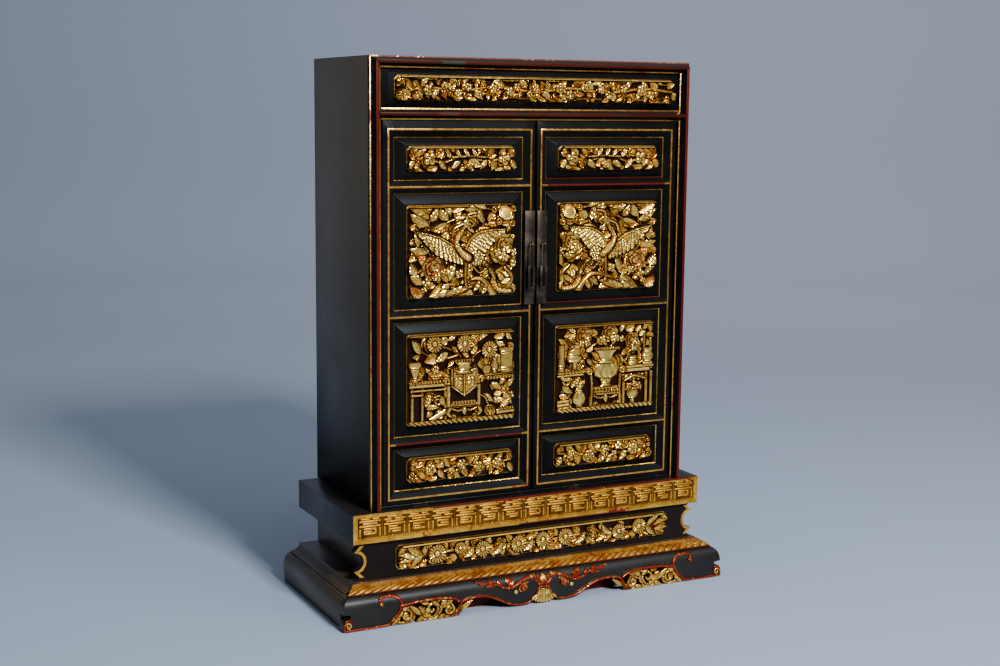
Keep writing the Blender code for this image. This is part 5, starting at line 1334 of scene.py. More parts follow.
# %% Antiques on the right door
def antiques_right_block(width, height):
    """A trumpet vase on stands, a lidded censer on a ledge, a table with a teapot, and peonies above."""
    block = blank_block(width, height)
    stems(block, ((.50, .72, .47, .82, .27, .90), (.50, .72, .52, .90), (.53, .72, .62, .80, .76, .82),
        (.46, .80, .36, .76, .30, .70), (.76, .82, .88, .92, .98, .97), (.30, .96, .12, .95),
        (.92, .94, .97, .86, .93, .74), (.10, .97, .50, .98, .80, .97)), (2.4, 1.8), 3.6)
    flower_leaves(block, [(.18, .92, .06, .88, 8, .3), (.18, .94, .10, .99, 6, .2),
        (.14, .88, .10, .80, 6, .2), (.40, .88, .33, .96, 7, -.3), (.40, .84, .48, .76, 7, .2),
        (.64, .90, .70, .98, 7, .3), (.70, .92, .80, .98, 8, -.2), (.88, .92, .99, .96, 8, .3),
        (.92, .88, .84, .84, 7, .2), (.92, .86, 1, .82, 7, .3), (.86, .80, .98, .74, 9, .2),
        (.36, .74, .28, .70, 6, .2), (.30, .68, .27, .60, 5, .2), (.30, .60, .36, .52, 6, -.2),
        (.62, .64, .70, .54, 6, .2), (.70, .70, .66, .62, 5, .2), (.50, .76, .44, .82, 5, .2),
        (.56, .76, .62, .84, 6, .2), (.98, .88, .93, .96, 6, .3), (.86, .96, .80, .90, 6, .2)])
    fill_gaps(block, 30, 10, 4.2, seed=9, smallest=2.8)
    block["h"][:int(len(block["z"]) * 0.44)] = 0
    bar(block, (.90, .50), (.90, .86), 3.4, 4.4)
    bar(block, (.97, .50), (.97, .80), 3, 4.4)
    for u, v, turn, hand in ((.10, .36, 0.2, 1), (.20, .34, 3, -1), (.08, .22, 1, -1), (.10, .12, 4, 1)):
        scroll(block, (u, v), 7, 4.8, 3.4, turn=turn, hand=hand)
    for k, (u0, v0, u1, v1) in enumerate(((.02, .42, .16, .38), (.22, .40, .14, .28), (.05, .30, .16, .22),
            (.02, .20, .12, .16), (.22, .28, .28, .36), (.16, .04, .03, .12), (.02, .05, .08, .14),
            (.18, .24, .26, .24))):
        leaf(block, (u0, v0), (u1, v1), 7.5, 4.6, tilt=0.3 if k % 2 else -0.3)
    for v in (.045, .085, .125):
        bar(block, (.0, v), (.11, v + .004), 3, 5)
    vessel(block, (.225, .055), (0, 4.4, 2, 3, 4, 6.4, 9, 8.2, 14, 6.6, 18, 2.6, 21, 2.4, 24, 5.6, 25, 5.6),
        5.6, lobes=5, bands=(17,))
    beads(block, (.0, .455), (.28, .465), 4.2, 5.5, pitch=4.2)
    bar(block, (.0, .425), (.26, .43), 2.2, 4.8)
    beads(block, (.07, .495), (.24, .50), 3.2, 5.2, pitch=4.6)
    vessel(block, (.04, .48), (0, 3.6, 2, 2.6, 6, 4.4, 12, 3.4, 18, 2.8, 26, 3.2, 30, 2.8), 5, bands=(5,),
        red=0.3)
    vessel(block, (.17, .50), (0, 2.2, 4, 1.6, 6, 5, 9, 8.6, 13, 9, 15, 6.4, 16, 8.2, 21, 7, 23, 2.2, 28,
        1), 5.5, bands=(8, 15.6), red=0.25)
    for side in (-1, 1):
        stem(block, (.17 + .03 * side, .56, .17 + .045 * side, .52, .17 + .035 * side, .50), (2.2, 1.8), 5)
    table(block, .69, .93, .06, .44, legs=(0, 1))
    bar(block, (.985, .06), (.985, .40), 2.8, 4.2)
    bar(block, (.66, .475), (1, .485), 3, 5)
    for k in range(5):
        leaf(block, (.73 + .04 * k, .40), (.71 + .045 * k, .31), 6.5, 4.6, tilt=0.3 if k % 2 else -0.3)
    stem(block, (.70, .32, .80, .37, .92, .33), (3, 3), 5)
    vessel(block, (.785, .045), (0, 4.4, 2, 2.6, 5, 3, 8, 6.6, 12, 7.6, 15, 6.4, 16, 6), 5.6, lobes=4,
        bands=(5,))
    beads(block, (.70, .215), (.88, .215), 2.6, 5.2, pitch=3.4, red=0.3)
    for u, v in ((.745, .255), (.80, .275), (.85, .25)):
        blossom(block, (u, v), 4, 5.2, petals=4, turn=u * 20, red=0.5)
    vessel(block, (.78, .50), (0, 5.4, 1, 6, 5, 6, 6, 5, 9, 5.4, 11, 5.2), 5.6, bands=(2, 7))
    stem(block, (.73, .58, .735, .665, .79, .69, .84, .66, .84, .58), (2.4, 2.6, 2.4), 5.6)
    stem(block, (.84, .52, .88, .545, .885, .60), (2.6, 1.8), 5.4)
    stem(block, (.715, .52, .695, .56, .725, .60), (2, 2), 5.2)
    vessel(block, (.94, .495), (0, 6.4, 2, 7, 5, 4.4, 8, 7.2, 11, 7.6, 12, 7, 16, 5, 19, 6.6), 5.4,
        bands=(3, 9, 14), red=0.2)
    low_stand(block, .355, .645, .045, .19)
    beads(block, (.36, .215), (.64, .215), 3.2, 5.2, pitch=3.8)
    beads(block, (.345, .255), (.66, .255), 3.4, 5.6, pitch=4.4, red=0.15)
    for x in (.345, .655):
        stem(block, [(x, .05), (x + (.01 if x < .5 else -.01), .25), (x, .44)], (3.6, 2.8, 3.2), 5)
        scroll(block, (x + (-.02 if x < .5 else .02), .45), 4.4, 5.2, 2.8, turn=3.1 if x < .5 else 0,
            hand=-1 if x < .5 else 1, red=0.4)
    vessel(block, (.50, .27), (0, 9, 2, 6, 5, 5.4, 8, 8, 10, 9), 5.2, bands=(3, 8))
    vessel(block, (.50, .375), (0, 9, 3, 15, 8, 18, 12, 17.6, 15, 14, 17, 9.5), 6, lobes=9)
    vessel(block, (.50, .545), (0, 9.6, 1.5, 9.8, 3, 7.4, 7, 7.6, 11, 10, 15, 15, 17, 18, 18, 18), 5.8,
        bands=(2.5,))
    beads(block, (.37, .72), (.64, .715), 3, 6, pitch=3.6, red=0.7)
    peony(block, (.265, .885), 11, 5.8, turn=0.4, red=0.9)
    peony(block, (.53, .90), 11, 5.8, turn=1.2, red=0.5)
    peony(block, (.765, .80), 9.6, 5.8, turn=0.8, red=0.6)
    for u, v, size in ((.30, .80, 4.6), (.24, .79, 4), (.46, .83, 4.6), (.60, .83, 4.4), (.79, .71, 4.6),
            (.83, .75, 3.8), (.66, .82, 3.8)):
        blossom(block, (u, v), size, 5.6, petals=4, turn=u * 9)
    beads(block, (.0, .022), (1, .022), 4.4, 5.8, pitch=6.4, lean=1, red=0.15)
    bar(block, (.0, .988), (1, .988), 1.5, 4.6, red=0.3)
    return block


# %% Frieze, sprays and waist
def frieze_block(width, height):
    """Roses and plum blossoms along a branch, with leaves above and below."""
    block = blank_block(width, height)
    branch = (.01, .30, .10, .52, .22, .40, .34, .60, .48, .40, .60, .58, .74, .42, .88, .60, .99, .48)
    stem(block, branch, (3.4, 3.4), 3.8)
    for u0, v0, u1, v1 in ((.03, .95, .16, .90), (.16, .92, .30, .98), (.34, .10, .46, .06),
            (.46, .95, .60, .92), (.62, .06, .72, .12), (.72, .94, .86, .90), (.86, .08, .96, .20),
            (.30, .96, .44, .88), (.90, .94, .97, .80)):
        stem(block, [(u0, v0), ((u0 + u1) / 2, (v0 + v1) / 2 + (.06 if v0 < .5 else -.06)), (u1, v1)],
            (1.8, 1.6), 3.6)
    for k in range(17):
        u = .02 + k * .0605
        up = 1 if k % 2 else -1
        leaf(block, (u, .5 + .06 * up), (u + .026 * (-1) ** (k // 2), .5 + .45 * up), 7.6,
            4.6 + .3 * (k % 3), tilt=0.35 * (-1) ** (k // 2), veins=3, hollow=k % 3 == 0)
    flowers = ((.105, .42, 6.4, 0), (.205, .32, 4.4, 1), (.24, .56, 4.6, 1), (.325, .52, 5.6, 1),
        (.352, .66, 4.2, 1), (.385, .40, 5.2, 1), (.41, .60, 4.4, 1), (.455, .30, 3.6, 1),
        (.475, .60, 4.6, 1), (.565, .58, 6.6, 0), (.60, .30, 5.2, 1), (.655, .62, 5, 1), (.72, .60, 6.8, 0),
        (.745, .30, 5, 1), (.80, .60, 4.8, 1), (.87, .55, 6.8, 0), (.905, .34, 4.8, 1), (.16, .62, 4.2, 1),
        (.285, .34, 4, 1))
    fill_gaps(block, 70, 8.4, 4.2, seed=3, smallest=2.5)
    bar(block, (.01, .96), (.99, .96), 1.7, 5, red=0.2)
    for index, (u, v, size, kind) in enumerate(flowers):
        if kind:
            blossom(block, (u, v), size, 5.6, petals=5, turn=index)
        else:
            blossom(block, (u, v), size, 5.9, petals=6, turn=index, red=0.2)
            blossom(block, (u, v), size * 0.52, 6.1, petals=5, turn=index + 0.5)
    leaf(block, (.183, .38), (.178, .92), 6.4, 5.8, tilt=.3, hollow=True)
    for side in (-1, 1):
        leaf(block, (.185, .36), (.183 + .016 * side, .80), 4.2, 5.4, tilt=.2 * side)
    return block


def spray_block(width, height, seed=1, kind=0):
    """A short strip: blossoms near the ends or in a row, with stems and leaves between."""
    block = blank_block(width, height)
    stem(block, (.02, .36, .14, .58, .30, .34, .5, .60, .72, .40, .98, .62), (2.6, 2.4), 4.2)
    for k in range(9):
        u = .05 + k * .112
        up = 1 if k % 2 else -1
        leaf(block, (u, .5 + .06 * up), (u + (.065 if k % 3 else -.065), .5 + .45 * up), 7.4, 4.7,
            tilt=0.35 * up, veins=3, hollow=k % 3 == 1)
    if kind == 0:
        stem(block, (.40, .56, .56, .60, .72, .56), (2.6, 2.2), 5.2)
        for u in (.42, .50, .58):
            leaf(block, (u + .05, .60), (u, .95), 5.5, 5, tilt=0.3)
        leaf(block, (.55, .45), (.66, .16), 9, 5.2, tilt=0.35, hollow=True)
        leaf(block, (.47, .40), (.38, .08), 7, 5, tilt=-0.3)
        blossom(block, (.56, .24), 4, 5.6, petals=4, turn=.2)
    else:
        for index, u in enumerate((.50, .66)):
            blossom(block, (u, .50 + .08 * (-1) ** index), 6.8, 5.6, turn=index, red=0.2, petals=6)
            blossom(block, (u, .50 + .08 * (-1) ** index), 3.4, 6.1, turn=index + 0.5)
        blossom(block, (.40, .36), 4.2, 5.5, petals=5, turn=1)
    fill_gaps(block, 18, 9, 4.3, seed, smallest=3)
    bar(block, (.02, .96), (.98, .96), 1.7, 5, red=0.2)
    for index, u in enumerate((.185, .885) if kind == 0 else (.20, .84)):
        blossom(block, (u, .50), 7.2, 5.8, turn=0.78 + index, red=0.2, petals=4 if kind == 0 else 6)
        blossom(block, (u, .50), 3.6, 6.1, turn=index, petals=5)
    if kind:
        for v in (.14, .38, .62, .86):
            scroll(block, (.035, v), 2.8, 5, 1.8, turn=1.2, hand=1)
    return block


def waist_block(width, height):
    """Chrysanthemums in a row with long leaves between them, and a fan of leaves at both ends."""
    block = blank_block(width, height)
    stem(block, (.01, .45, .25, .56, .5, .44, .75, .56, .99, .5), (3.2, 3.2), 3.8)
    stem(block, (.03, .95, .40, .93, .70, .95, .96, .90), (2.2, 2.2), 3.6)
    for k in range(24):
        u = .02 + k * .0415
        up = 1 if k % 2 else -1
        leaf(block, (u + .010, .5 + .10 * up), (u - .016 + .016 * (k % 3), .5 + .45 * up), 8, 4.6,
            tilt=0.35 * (-1) ** (k // 2), veins=3, hollow=k % 3 == 0)
    fill_gaps(block, 40, 10, 4.3, seed=4, smallest=3)
    bar(block, (.01, .965), (.99, .965), 1.9, 5, red=0.2)
    for root, tips in ((.085, ((.0, .30), (.005, .62), (.03, .93), (.045, .08))), (.915, ((1, .36),
            (.995, .70), (.965, .95), (.95, .08)))):
        for u, v in tips:
            leaf(block, (root, .5), (u, v), 8.4, 5, tilt=0.4 if v > .5 else -0.4, veins=4)
    for u, v, size in ((.135, .50, 10.4), (.295, .46, 9.2), (.425, .48, 9.6), (.515, .52, 9),
            (.60, .52, 9.4), (.805, .44, 8.8), (.885, .56, 9.2), (.215, .62, 6.8)):
        daisy(block, (u, v), size, 5.9, petals=16, turn=u * 5, red=0.15)
    for u, v, size in ((.36, .56, 6), (.70, .62, 5.6), (.745, .42, 5.4)):
        peony(block, (u, v), size * 1.3, 5.7, turn=u * 9, red=0.2, petals=5)
    for u, tip in ((.245, .20), (.345, .14), (.46, .14), (.655, .16), (.735, .12), (.76, .86)):
        leaf(block, (u + .018, .60 if tip < .5 else .4), (u - .02, tip), 7, 5.3, tilt=.35, bend=.15)
    return block

# %% [markdown]
# ## From heights to a carved block
#
# A flat grid is laid over the block's face and each point is pushed out by its height. The rim is then
# extruded back to the panel in two steps; the last narrow step is the thin gilded line at the block's foot.
# What the painter did goes with the mesh as an attribute: how far a point is gilded, how red it is, how
# deep it lies between its neighbours, which the material paints as shade, and how high it stands, whose top
# share the material paints as a highlight.

# %% Grid helpers
HOLLOW_REACH = 3
HOLLOW_DEPTH = 1.5
GILDED_FROM = 0.9


def painted(block):
    """The four paint values of each point: gilded, red, deep (painted as shade in the hollows) and high (its
    top share painted as a highlight).
    """
    heights = block["h"]
    deep = np.clip((box_mean(heights, HOLLOW_REACH) - heights) / HOLLOW_DEPTH, 0.0, 1.0)
    gilded = np.clip(heights / GILDED_FROM, 0.0, 1.0)
    return np.stack((gilded, block["red"], deep, heights / CREST), axis=-1)


def grid_piece(name, columns, rows):
    """A flat grid of so many points each way, and the column and the row of each point."""
    bpy.ops.object.select_all(action="DESELECT")
    bpy.ops.mesh.primitive_grid_add(x_subdivisions=columns - 1, y_subdivisions=rows - 1, size=1.0)
    piece = bpy.context.object
    piece.name = name
    places = np.empty(rows * columns * 3, np.float32)
    piece.data.vertices.foreach_get("co", places)
    across, up, flat = places.reshape(-1, 3).T + 0.5
    return piece, np.rint(across * (columns - 1)).astype(int), np.rint(up * (rows - 1)).astype(int)


def shape_points(piece, x, y, z, paint):
    """Give each point its place and its paint."""
    piece.data.vertices.foreach_set("co", np.stack((x, y, z), axis=-1).astype(np.float32).ravel())
    layer = piece.data.attributes.new("paint", "FLOAT_COLOR", "POINT")
    layer.data.foreach_set("color", paint.astype(np.float32).ravel())


def extrude_rim(axis, value):
    """Extrude the selected rim and lay the new rim on a plane across one axis."""
    scale = [1.0, 1.0, 1.0]
    scale[axis] = 0.0
    centre = [0.0, 0.0, 0.0]
    centre[axis] = value
    bpy.ops.mesh.extrude_edges_move()
    bpy.ops.transform.resize(value=scale, center_override=centre)


def select_rim():
    """Select only the open edges of the piece in edit mode."""
    bpy.ops.mesh.select_mode(type="EDGE")
    bpy.ops.mesh.select_all(action="DESELECT")
    bpy.ops.mesh.select_non_manifold()


def turn_outwards():
    """Make all the faces of the piece in edit mode point outwards."""
    bpy.ops.mesh.select_all(action="SELECT")
    bpy.ops.mesh.normals_make_consistent(inside=False)


def leave_dark(piece, rule, start=0):
    """Take the paint from the points that the rule picks."""
    paint = piece.data.attributes["paint"].data
    for vertex in piece.data.vertices[start:]:
        if rule(vertex.co):
            paint[vertex.index].color = (0.0, 0.0, 0.0, 0.0)

# %% Carved mesh
GROUND = 2.4 * MM
FOOT_LINE = 0.9 * MM
FOOT_LIP = 0.7 * MM
HAIR = 0.01 * MM


def carved_mesh(node, block, corner_share, flip=False):
    """A carved block in a solid's place, its corners cut off by a share of its height."""
    low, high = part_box(node)
    size = high - low
    heights = block["h"] * (size.y - GROUND) / CREST
    paint = painted(block)
    if flip:
        heights = heights[:, ::-1]
        paint = paint[:, ::-1]
    rows, columns = heights.shape
    piece, column, row = grid_piece(node + "_relief", columns, rows)
    rise = row / (rows - 1) * size.z
    inset = np.maximum(0.0, corner_share * size.z - np.minimum(rise, size.z - rise))
    x = low.x + inset + column / (columns - 1) * (size.x - 2 * inset)
    shape_points(piece, x, high.y - GROUND - heights[row, column], low.z + rise, paint[row, column])
    bpy.ops.object.mode_set(mode="EDIT")
    select_rim()
    extrude_rim(1, high.y - FOOT_LINE)
    bpy.ops.mesh.extrude_edges_move()
    wider = (1.0 + 2 * FOOT_LIP / size.x, 1.0, 1.0 + 2 * FOOT_LIP / size.z)
    bpy.ops.transform.resize(value=wider, center_override=(low + high) / 2)
    extrude_rim(1, high.y)
    bpy.ops.mesh.edge_face_add()
    bpy.ops.object.mode_set(mode="OBJECT")
    smooth_below(piece, 50)
    leave_dark(piece, lambda place: place.y > high.y - GROUND + HAIR, rows * columns)
    foot = high.y - FOOT_LINE - HAIR
    paint_faces(piece, [carved_gilding, gilt_line], lambda centre, normal: int(centre.y > foot))
    stand_for(piece, node)
    print(node, "triangles:", triangles(piece))

# %% Carved blocks
SMALL_CORNER = 0.15
LARGE_CORNER = 0.02


def block_for(node, layout, **choices):
    """The carved heights for a node's own width and height."""
    low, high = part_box(node)
    return layout((high.x - low.x) / MM, (high.z - low.z) / MM, **choices)


phoenix = block_for("door_left_carving_phoenix", phoenix_block)
for side, flip, antiques in (("left", False, antiques_left_block), ("right", True, antiques_right_block)):
    carved_mesh(f"door_{side}_carving_phoenix", phoenix, LARGE_CORNER, flip)
    node = f"door_{side}_carving_antiques"
    carved_mesh(node, block_for(node, antiques), LARGE_CORNER)
    for kind, word in enumerate(("top", "bottom")):
        node = f"door_{side}_carving_{word}"
        carved_mesh(node, block_for(node, spray_block, seed=1 + kind, kind=kind), SMALL_CORNER, flip)
for node, layout in (("frieze_carving", frieze_block), ("waist_carving", waist_block)):
    carved_mesh(node, block_for(node, layout), SMALL_CORNER)

# %% [markdown]
# ## The slab and its fret edge
#
# The slab is a thick black board whose front edge is gilded. Between two plain borders runs a row of square
# fields with shallow strokes: short rows, broken in places, over and under one long bar, with an upright at
# each side. The board is a cube whose front face is inset and pushed back. One stroke is modelled, with
# sides that lean inwards, and then copied to every place with its own length.

# %% Slab
FRET_BORDER = 5.2 * MM
FRET_SHIFT = 1.2 * MM
FRET_DEPTH = 0.6 * MM
BORDER_LEAN = 0.12 * MM
RUBBED_TOP = 2.2 * MM
RUBBED_FOOT = 1.5 * MM
RUBBED_REACH = (-0.125, 0.205)
RUBBED_FOOT_REACH = (-0.020, 0.115)
SLAB_BLACK, BORDER_GOLD, SHADED_GROUND_GOLD, RUBBED_EDGE = range(4)

slab_low, slab_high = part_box("slab")
fret_ground = slab_low.y + FRET_DEPTH
bpy.ops.object.select_all(action="DESELECT")
bpy.ops.mesh.primitive_cube_add(size=1.0, location=(slab_low + slab_high) / 2, scale=slab_high - slab_low)
bpy.ops.object.transform_apply(location=True, rotation=True, scale=True)
slab = bpy.context.object
slab.name = "slab_board"
select_faces(slab, faces_front)
bpy.ops.mesh.inset(thickness=FRET_BORDER)
bpy.ops.transform.translate(value=(0.0, 0.0, FRET_SHIFT))
bpy.ops.mesh.inset(thickness=BORDER_LEAN, depth=-FRET_DEPTH)
bpy.ops.object.mode_set(mode="OBJECT")
cut_flat(slab, 2, [slab_high.z - RUBBED_TOP, slab_low.z + RUBBED_FOOT])
cut_flat(slab, 0, RUBBED_REACH + RUBBED_FOOT_REACH)


def slab_rule(centre, normal):
    """Gilded front, with the fret's sunk ground painted darker as shade, and rubbed strips along the top and
    the foot.
    """
    if centre.y < slab_low.y + 0.1 * MM:
        if centre.z > slab_high.z - RUBBED_TOP and RUBBED_REACH[0] < centre.x < RUBBED_REACH[1]:
            return RUBBED_EDGE
        if centre.z < slab_low.z + RUBBED_FOOT and RUBBED_FOOT_REACH[0] < centre.x < RUBBED_FOOT_REACH[1]:
            return RUBBED_EDGE
    if centre.y > fret_ground + 0.1 * MM or (normal.y > -0.9 and centre.y > fret_ground):
        return SLAB_BLACK
    return SHADED_GROUND_GOLD if centre.y > slab_low.y + FRET_DEPTH * 0.4 else BORDER_GOLD


paint_faces(slab, [black_apron, gilt_border, gilt_ground_shade, gilt_rubbed], slab_rule)
round_edges(slab, 0.8 * MM)
for face in slab.data.polygons:
    place = face.center
    ends = (slab_high.z - place.z, place.z - slab_low.z, slab_high.x - abs(place.x))
    near_front = slab_low.y + HAIR < place.y < slab_low.y + 0.8 * MM
    if near_front and abs(face.normal.y) < 0.9 and min(ends) < 1.0 * MM:
        face.material_index = RUBBED_EDGE

# %% Fret strokes
FRET_FIELDS = 15
STROKE = 2.05 * MM
STROKE_LEAN = 0.48 * MM
STROKE_SHAKE = 0.07
DIVIDER = 0.40 * MM
FIELD_MARGIN = 0.06
UPRIGHT_TOP = 0.46
FIELD_LEVELS = (0.895, 0.775, 0.655, 0.525, 0.390, 0.265, 0.140)
FIELD_ROWS = (
    ((.12, .50, .60, .88), (.06, .94), (.20, .80), (.06, .94), (.24, .76), (.24, .60), (.24, .76)),
    ((.06, .94), (.20, .80), (.06, .44, .56, .94), (.12, .88), (.24, .76), (.40, .76), (.24, .76)),
    ((.20, .80), (.06, .40, .50, .94), (.14, .86), (.06, .94), (.24, .62), (.24, .76), (.38, .76)),
)
field_width = (slab_high.x - slab_low.x - 2 * FRET_BORDER) / FRET_FIELDS
field_height = slab_high.z - slab_low.z - 2 * FRET_BORDER


def fret_field(kind):
    """One field's strokes as (left, right, bottom, top) in shares of the field."""
    thick = STROKE / field_height
    wide = STROKE / field_width
    strokes = []
    for level, row in zip(FIELD_LEVELS, FIELD_ROWS[kind % 3]):
        strokes += [(start, end, level, level + thick) for start, end in zip(row[::2], row[1::2])]
    for start in (FIELD_MARGIN, 1.0 - FIELD_MARGIN - wide):
        strokes.append((start, start + wide, 0.02, UPRIGHT_TOP))
    start = 0.24 if kind % 2 else 0.76 - wide
    return [*strokes, (start, start + wide, 0.14, 0.39)]


def stamped(boxes, front, back, lean):
    """One mesh with a copy of a leaning block, open behind, in each (left, right, bottom, top) box."""
    bpy.ops.mesh.primitive_cube_add(size=2.0)
    stroke = bpy.context.object
    corners = [vertex.co.copy() for vertex in stroke.data.vertices]
    faces = [tuple(face.vertices) for face in stroke.data.polygons if face.normal.y < 0.9]
    bpy.data.objects.remove(stroke)
    places = []
    all_faces = []
    for left, right, low, high in boxes:
        all_faces += [tuple(len(places) + index for index in face) for face in faces]
        for corner in corners:
            shrink = lean if corner.y < 0 else 0.0
            x = (left + right) / 2 + corner.x * ((right - left) / 2 - shrink)
            z = (low + high) / 2 + corner.z * ((high - low) / 2 - shrink)
            places.append((x, front if corner.y < 0 else back, z))
    mesh = bpy.data.meshes.new("strokes")
    mesh.from_pydata(places, [], all_faces)
    mesh.validate()
    made = bpy.data.objects.new("strokes", mesh)
    bpy.context.scene.collection.objects.link(made)
    return made


def join_pieces(main, others):
    """Join other objects into the main one; their finishes come along."""
    bpy.ops.object.select_all(action="DESELECT")
    for piece in (*others, main):
        piece.select_set(True)
    bpy.context.view_layer.objects.active = main
    bpy.ops.object.join()


random = np.random.default_rng(7)
base = slab_low.z + FRET_BORDER + FRET_SHIFT
boxes = []
for field in range(FRET_FIELDS):
    left = slab_low.x + FRET_BORDER + field * field_width
    for start, end, low, high in fret_field(field * 5 % 7):
        shake = random.normal(0.0, STROKE_SHAKE, 3) * MM
        boxes.append((left + start * field_width + shake[0], left + end * field_width + shake[1],
                      base + low * field_height + shake[2], base + high * field_height + shake[2]))
    if field:
        boxes.append((left - DIVIDER, left + DIVIDER, base, base + field_height))
strokes = stamped(boxes, slab_low.y + 0.1 * MM, fret_ground + 0.2 * MM, STROKE_LEAN)
paint_faces(strokes, [gilt_stroke])
round_edges(strokes, 0.12 * MM, segments=1)
join_pieces(slab, [strokes])
stand_for(slab, "slab")
print("fret strokes:", len(boxes), "slab triangles:", triangles(slab))

# %% [markdown]
# ## The gadrooned slope
#
# Under the waist the base slopes forward. Its upper part is a plain gilded band, and below it runs a row of
# lobes that lean, like the turns of a rope. The slope is a long grid that is folded over the section of the
# moulding; each lobe is half a round, and its place along the slope shifts with its place down the slope,
# so that it leans.

# %% Gadroon
GADROON_LOBES = 46
GADROON_LEAN = 1.52
GADROON_BAND = 0.36
GADROON_RISE = 2.4 * MM
GADROON_POINTS = (951, 29)
SLOPE_FOOT = 2.2 * MM
SLOPE_FRONT = 0.9 * MM
SLOPE_TOP_INSET = 11.0 * MM
OUTWARD = (-0.447, 0.894)

low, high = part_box("gadroon_moulding")
gadroon, column, row = grid_piece("gadroon_rope", *GADROON_POINTS)
share = column / (GADROON_POINTS[0] - 1)
rise = row / (GADROON_POINTS[1] - 1)
rope_top = 1.0 - GADROON_BAND
on_rope = rise < rope_top
up_rope = np.clip(rise / rope_top, 0.0, 1.0)
phase = (share * GADROON_LOBES + GADROON_LEAN * (1.0 - up_rope)) % 1.0
swell = 0.30 + 0.70 * np.sin(np.pi * up_rope) ** 0.6
heights = GADROON_RISE * np.where(on_rope, round_share(2.0 * phase - 1.0) * swell, 0.5)
heights[np.abs(rise - rope_top) < 0.025] = 0.0
heights[rise > 0.985] = GADROON_RISE * 0.3
half_width = high.x + (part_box("base_top")[1].x - SLOPE_TOP_INSET - high.x) * rise
slope_y = low.y + SLOPE_FRONT + (high.y - low.y - SLOPE_FRONT) * rise
slope_z = low.z + SLOPE_FOOT + (high.z - low.z - SLOPE_FOOT) * rise
# Painted shade: the low parts of each lobe, and the plain band a little, are painted darker as shade between
# the lobes.
deep = np.where(on_rope, np.clip(1.0 - heights / (GADROON_RISE * 0.70), 0.0, 1.0), 0.28)
redness = np.random.default_rng(2).uniform(0.15, 0.55, len(heights))
paint = np.stack((np.ones(len(heights)), redness, deep, np.full(len(heights), 0.45)), axis=-1)
shape_points(
    gadroon,
    (share * 2.0 - 1.0) * half_width,
    slope_y + OUTWARD[0] * heights,
    np.minimum(slope_z + OUTWARD[1] * (heights - GADROON_RISE * 0.55), high.z),
    paint,
)
bpy.ops.object.mode_set(mode="EDIT")
select_rim()
extrude_rim(2, low.z)
bpy.ops.mesh.edge_face_add()
turn_outwards()
bpy.ops.object.mode_set(mode="OBJECT")
smooth_below(gadroon, 50)
leave_dark(gadroon, lambda place: True, len(heights))
paint_faces(gadroon, [carved_gilding])
stand_for(gadroon, "gadroon_moulding")
print("gadroon triangles:", triangles(gadroon))

# %% [markdown]
# ## The apron
#
# The front board of the base has a round shoulder, and its lower edge is cut to an arch between two feet. A
# red bead runs along the cut edge and curls up in a C over each foot. Between foot and arch hang pierced
# gilt scrolls, and a gilt fan with red leaves sits in the middle. The board is a flat filled curve that is
# cut at several heights and bent over the shoulder. The raised work is carved with the same knife as the
# blocks, on one half and its mirror image, and only what stands up is kept, so that the scrolls are open.

# %% Apron board
SHOULDER_REACH = 8.5 * MM
SHOULDER_SHARE = 0.45
SHOULDER_CUTS = 9
FACE_INSET = 2.16 * MM
END_INSET = 1.0 * MM
RED_UNDER_TO = 22.0 * MM
RED_UNDER_REACH = 224.0 * MM
APRON_EDGE = [(0, 14), (7, 14), (9, 9), (14, 4.4), (22, 2.0), (33, 2.0), (44, 4.6), (56, 10.6), (68, 16.0),
    (80, 18.0), (92, 17.2), (101, 15.0), (104, 18), (112, 21.6), (128, 23.6), (150, 23), (166, 21.6),
    (172, 20), (173.5, 14.5), (180, 8), (185.5, 3), (187.5, 0), (237.0, 0), (238.4, 2), (238.4, 8.4),
    (236.2, 12.3), (230.8, 13.8), (229.4, 15.8), (229.4, 18.2)]
apron_low, apron_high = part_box("apron_front")
apron_face = apron_low.y + FACE_INSET


def shoulder(rise):
    """How far the round shoulder falls back at a height above the floor."""
    drop = apron_high.z * SHOULDER_SHARE
    share = np.clip((rise - apron_high.z + drop) / drop, 0.0, 1.0)
    return SHOULDER_REACH * (1.0 - np.sqrt(1.0 - share**2 * 0.999))


cuts = [apron_high.z * (1 - SHOULDER_SHARE * (1 - math.cos(math.pi / 2 * step / SHOULDER_CUTS)))
        for step in range(SHOULDER_CUTS + 1)]
half_edge = [(x * MM, z * MM) for x, z in APRON_EDGE]
half_edge += [(apron_high.x - END_INSET - shoulder(rise), rise) for rise in reversed(cuts)]
outline = half_edge + [(-x, z) for x, z in reversed(half_edge) if x > 0]
curve = bpy.data.curves.new("apron_outline", "CURVE")
curve.dimensions = "2D"
curve.fill_mode = "FRONT"
spline = curve.splines.new("POLY")
spline.points.add(len(outline) - 1)
for point, (x, z) in zip(spline.points, outline):
    point.co = (x, z, 0.0, 1.0)
spline.use_cyclic_u = True
apron = bpy.data.objects.new("apron_board", curve)
bpy.context.scene.collection.objects.link(apron)
activate(apron)
bpy.ops.object.convert(target="MESH")
apron = bpy.context.object
cut_flat(apron, 1, cuts[1:])
for vertex in apron.data.vertices:
    rise = vertex.co.y
    vertex.co = (vertex.co.x, apron_face + shoulder(rise), rise)
bpy.ops.object.mode_set(mode="EDIT")
select_rim()
extrude_rim(1, apron_high.y)
bpy.ops.mesh.edge_face_add()
turn_outwards()
bpy.ops.object.mode_set(mode="OBJECT")


def apron_rule(centre, normal):
    """Black, with a red underside along the cut edge."""
    under = normal.z < -0.25 or (centre.z < RED_UNDER_TO and abs(normal.y) < 0.3)
    return int(under and abs(centre.x) < RED_UNDER_REACH)


paint_faces(apron, [black_apron, red_lacquer, carved_gilding], apron_rule)
smooth_below(apron, 32)
print("apron board triangles:", triangles(apron))

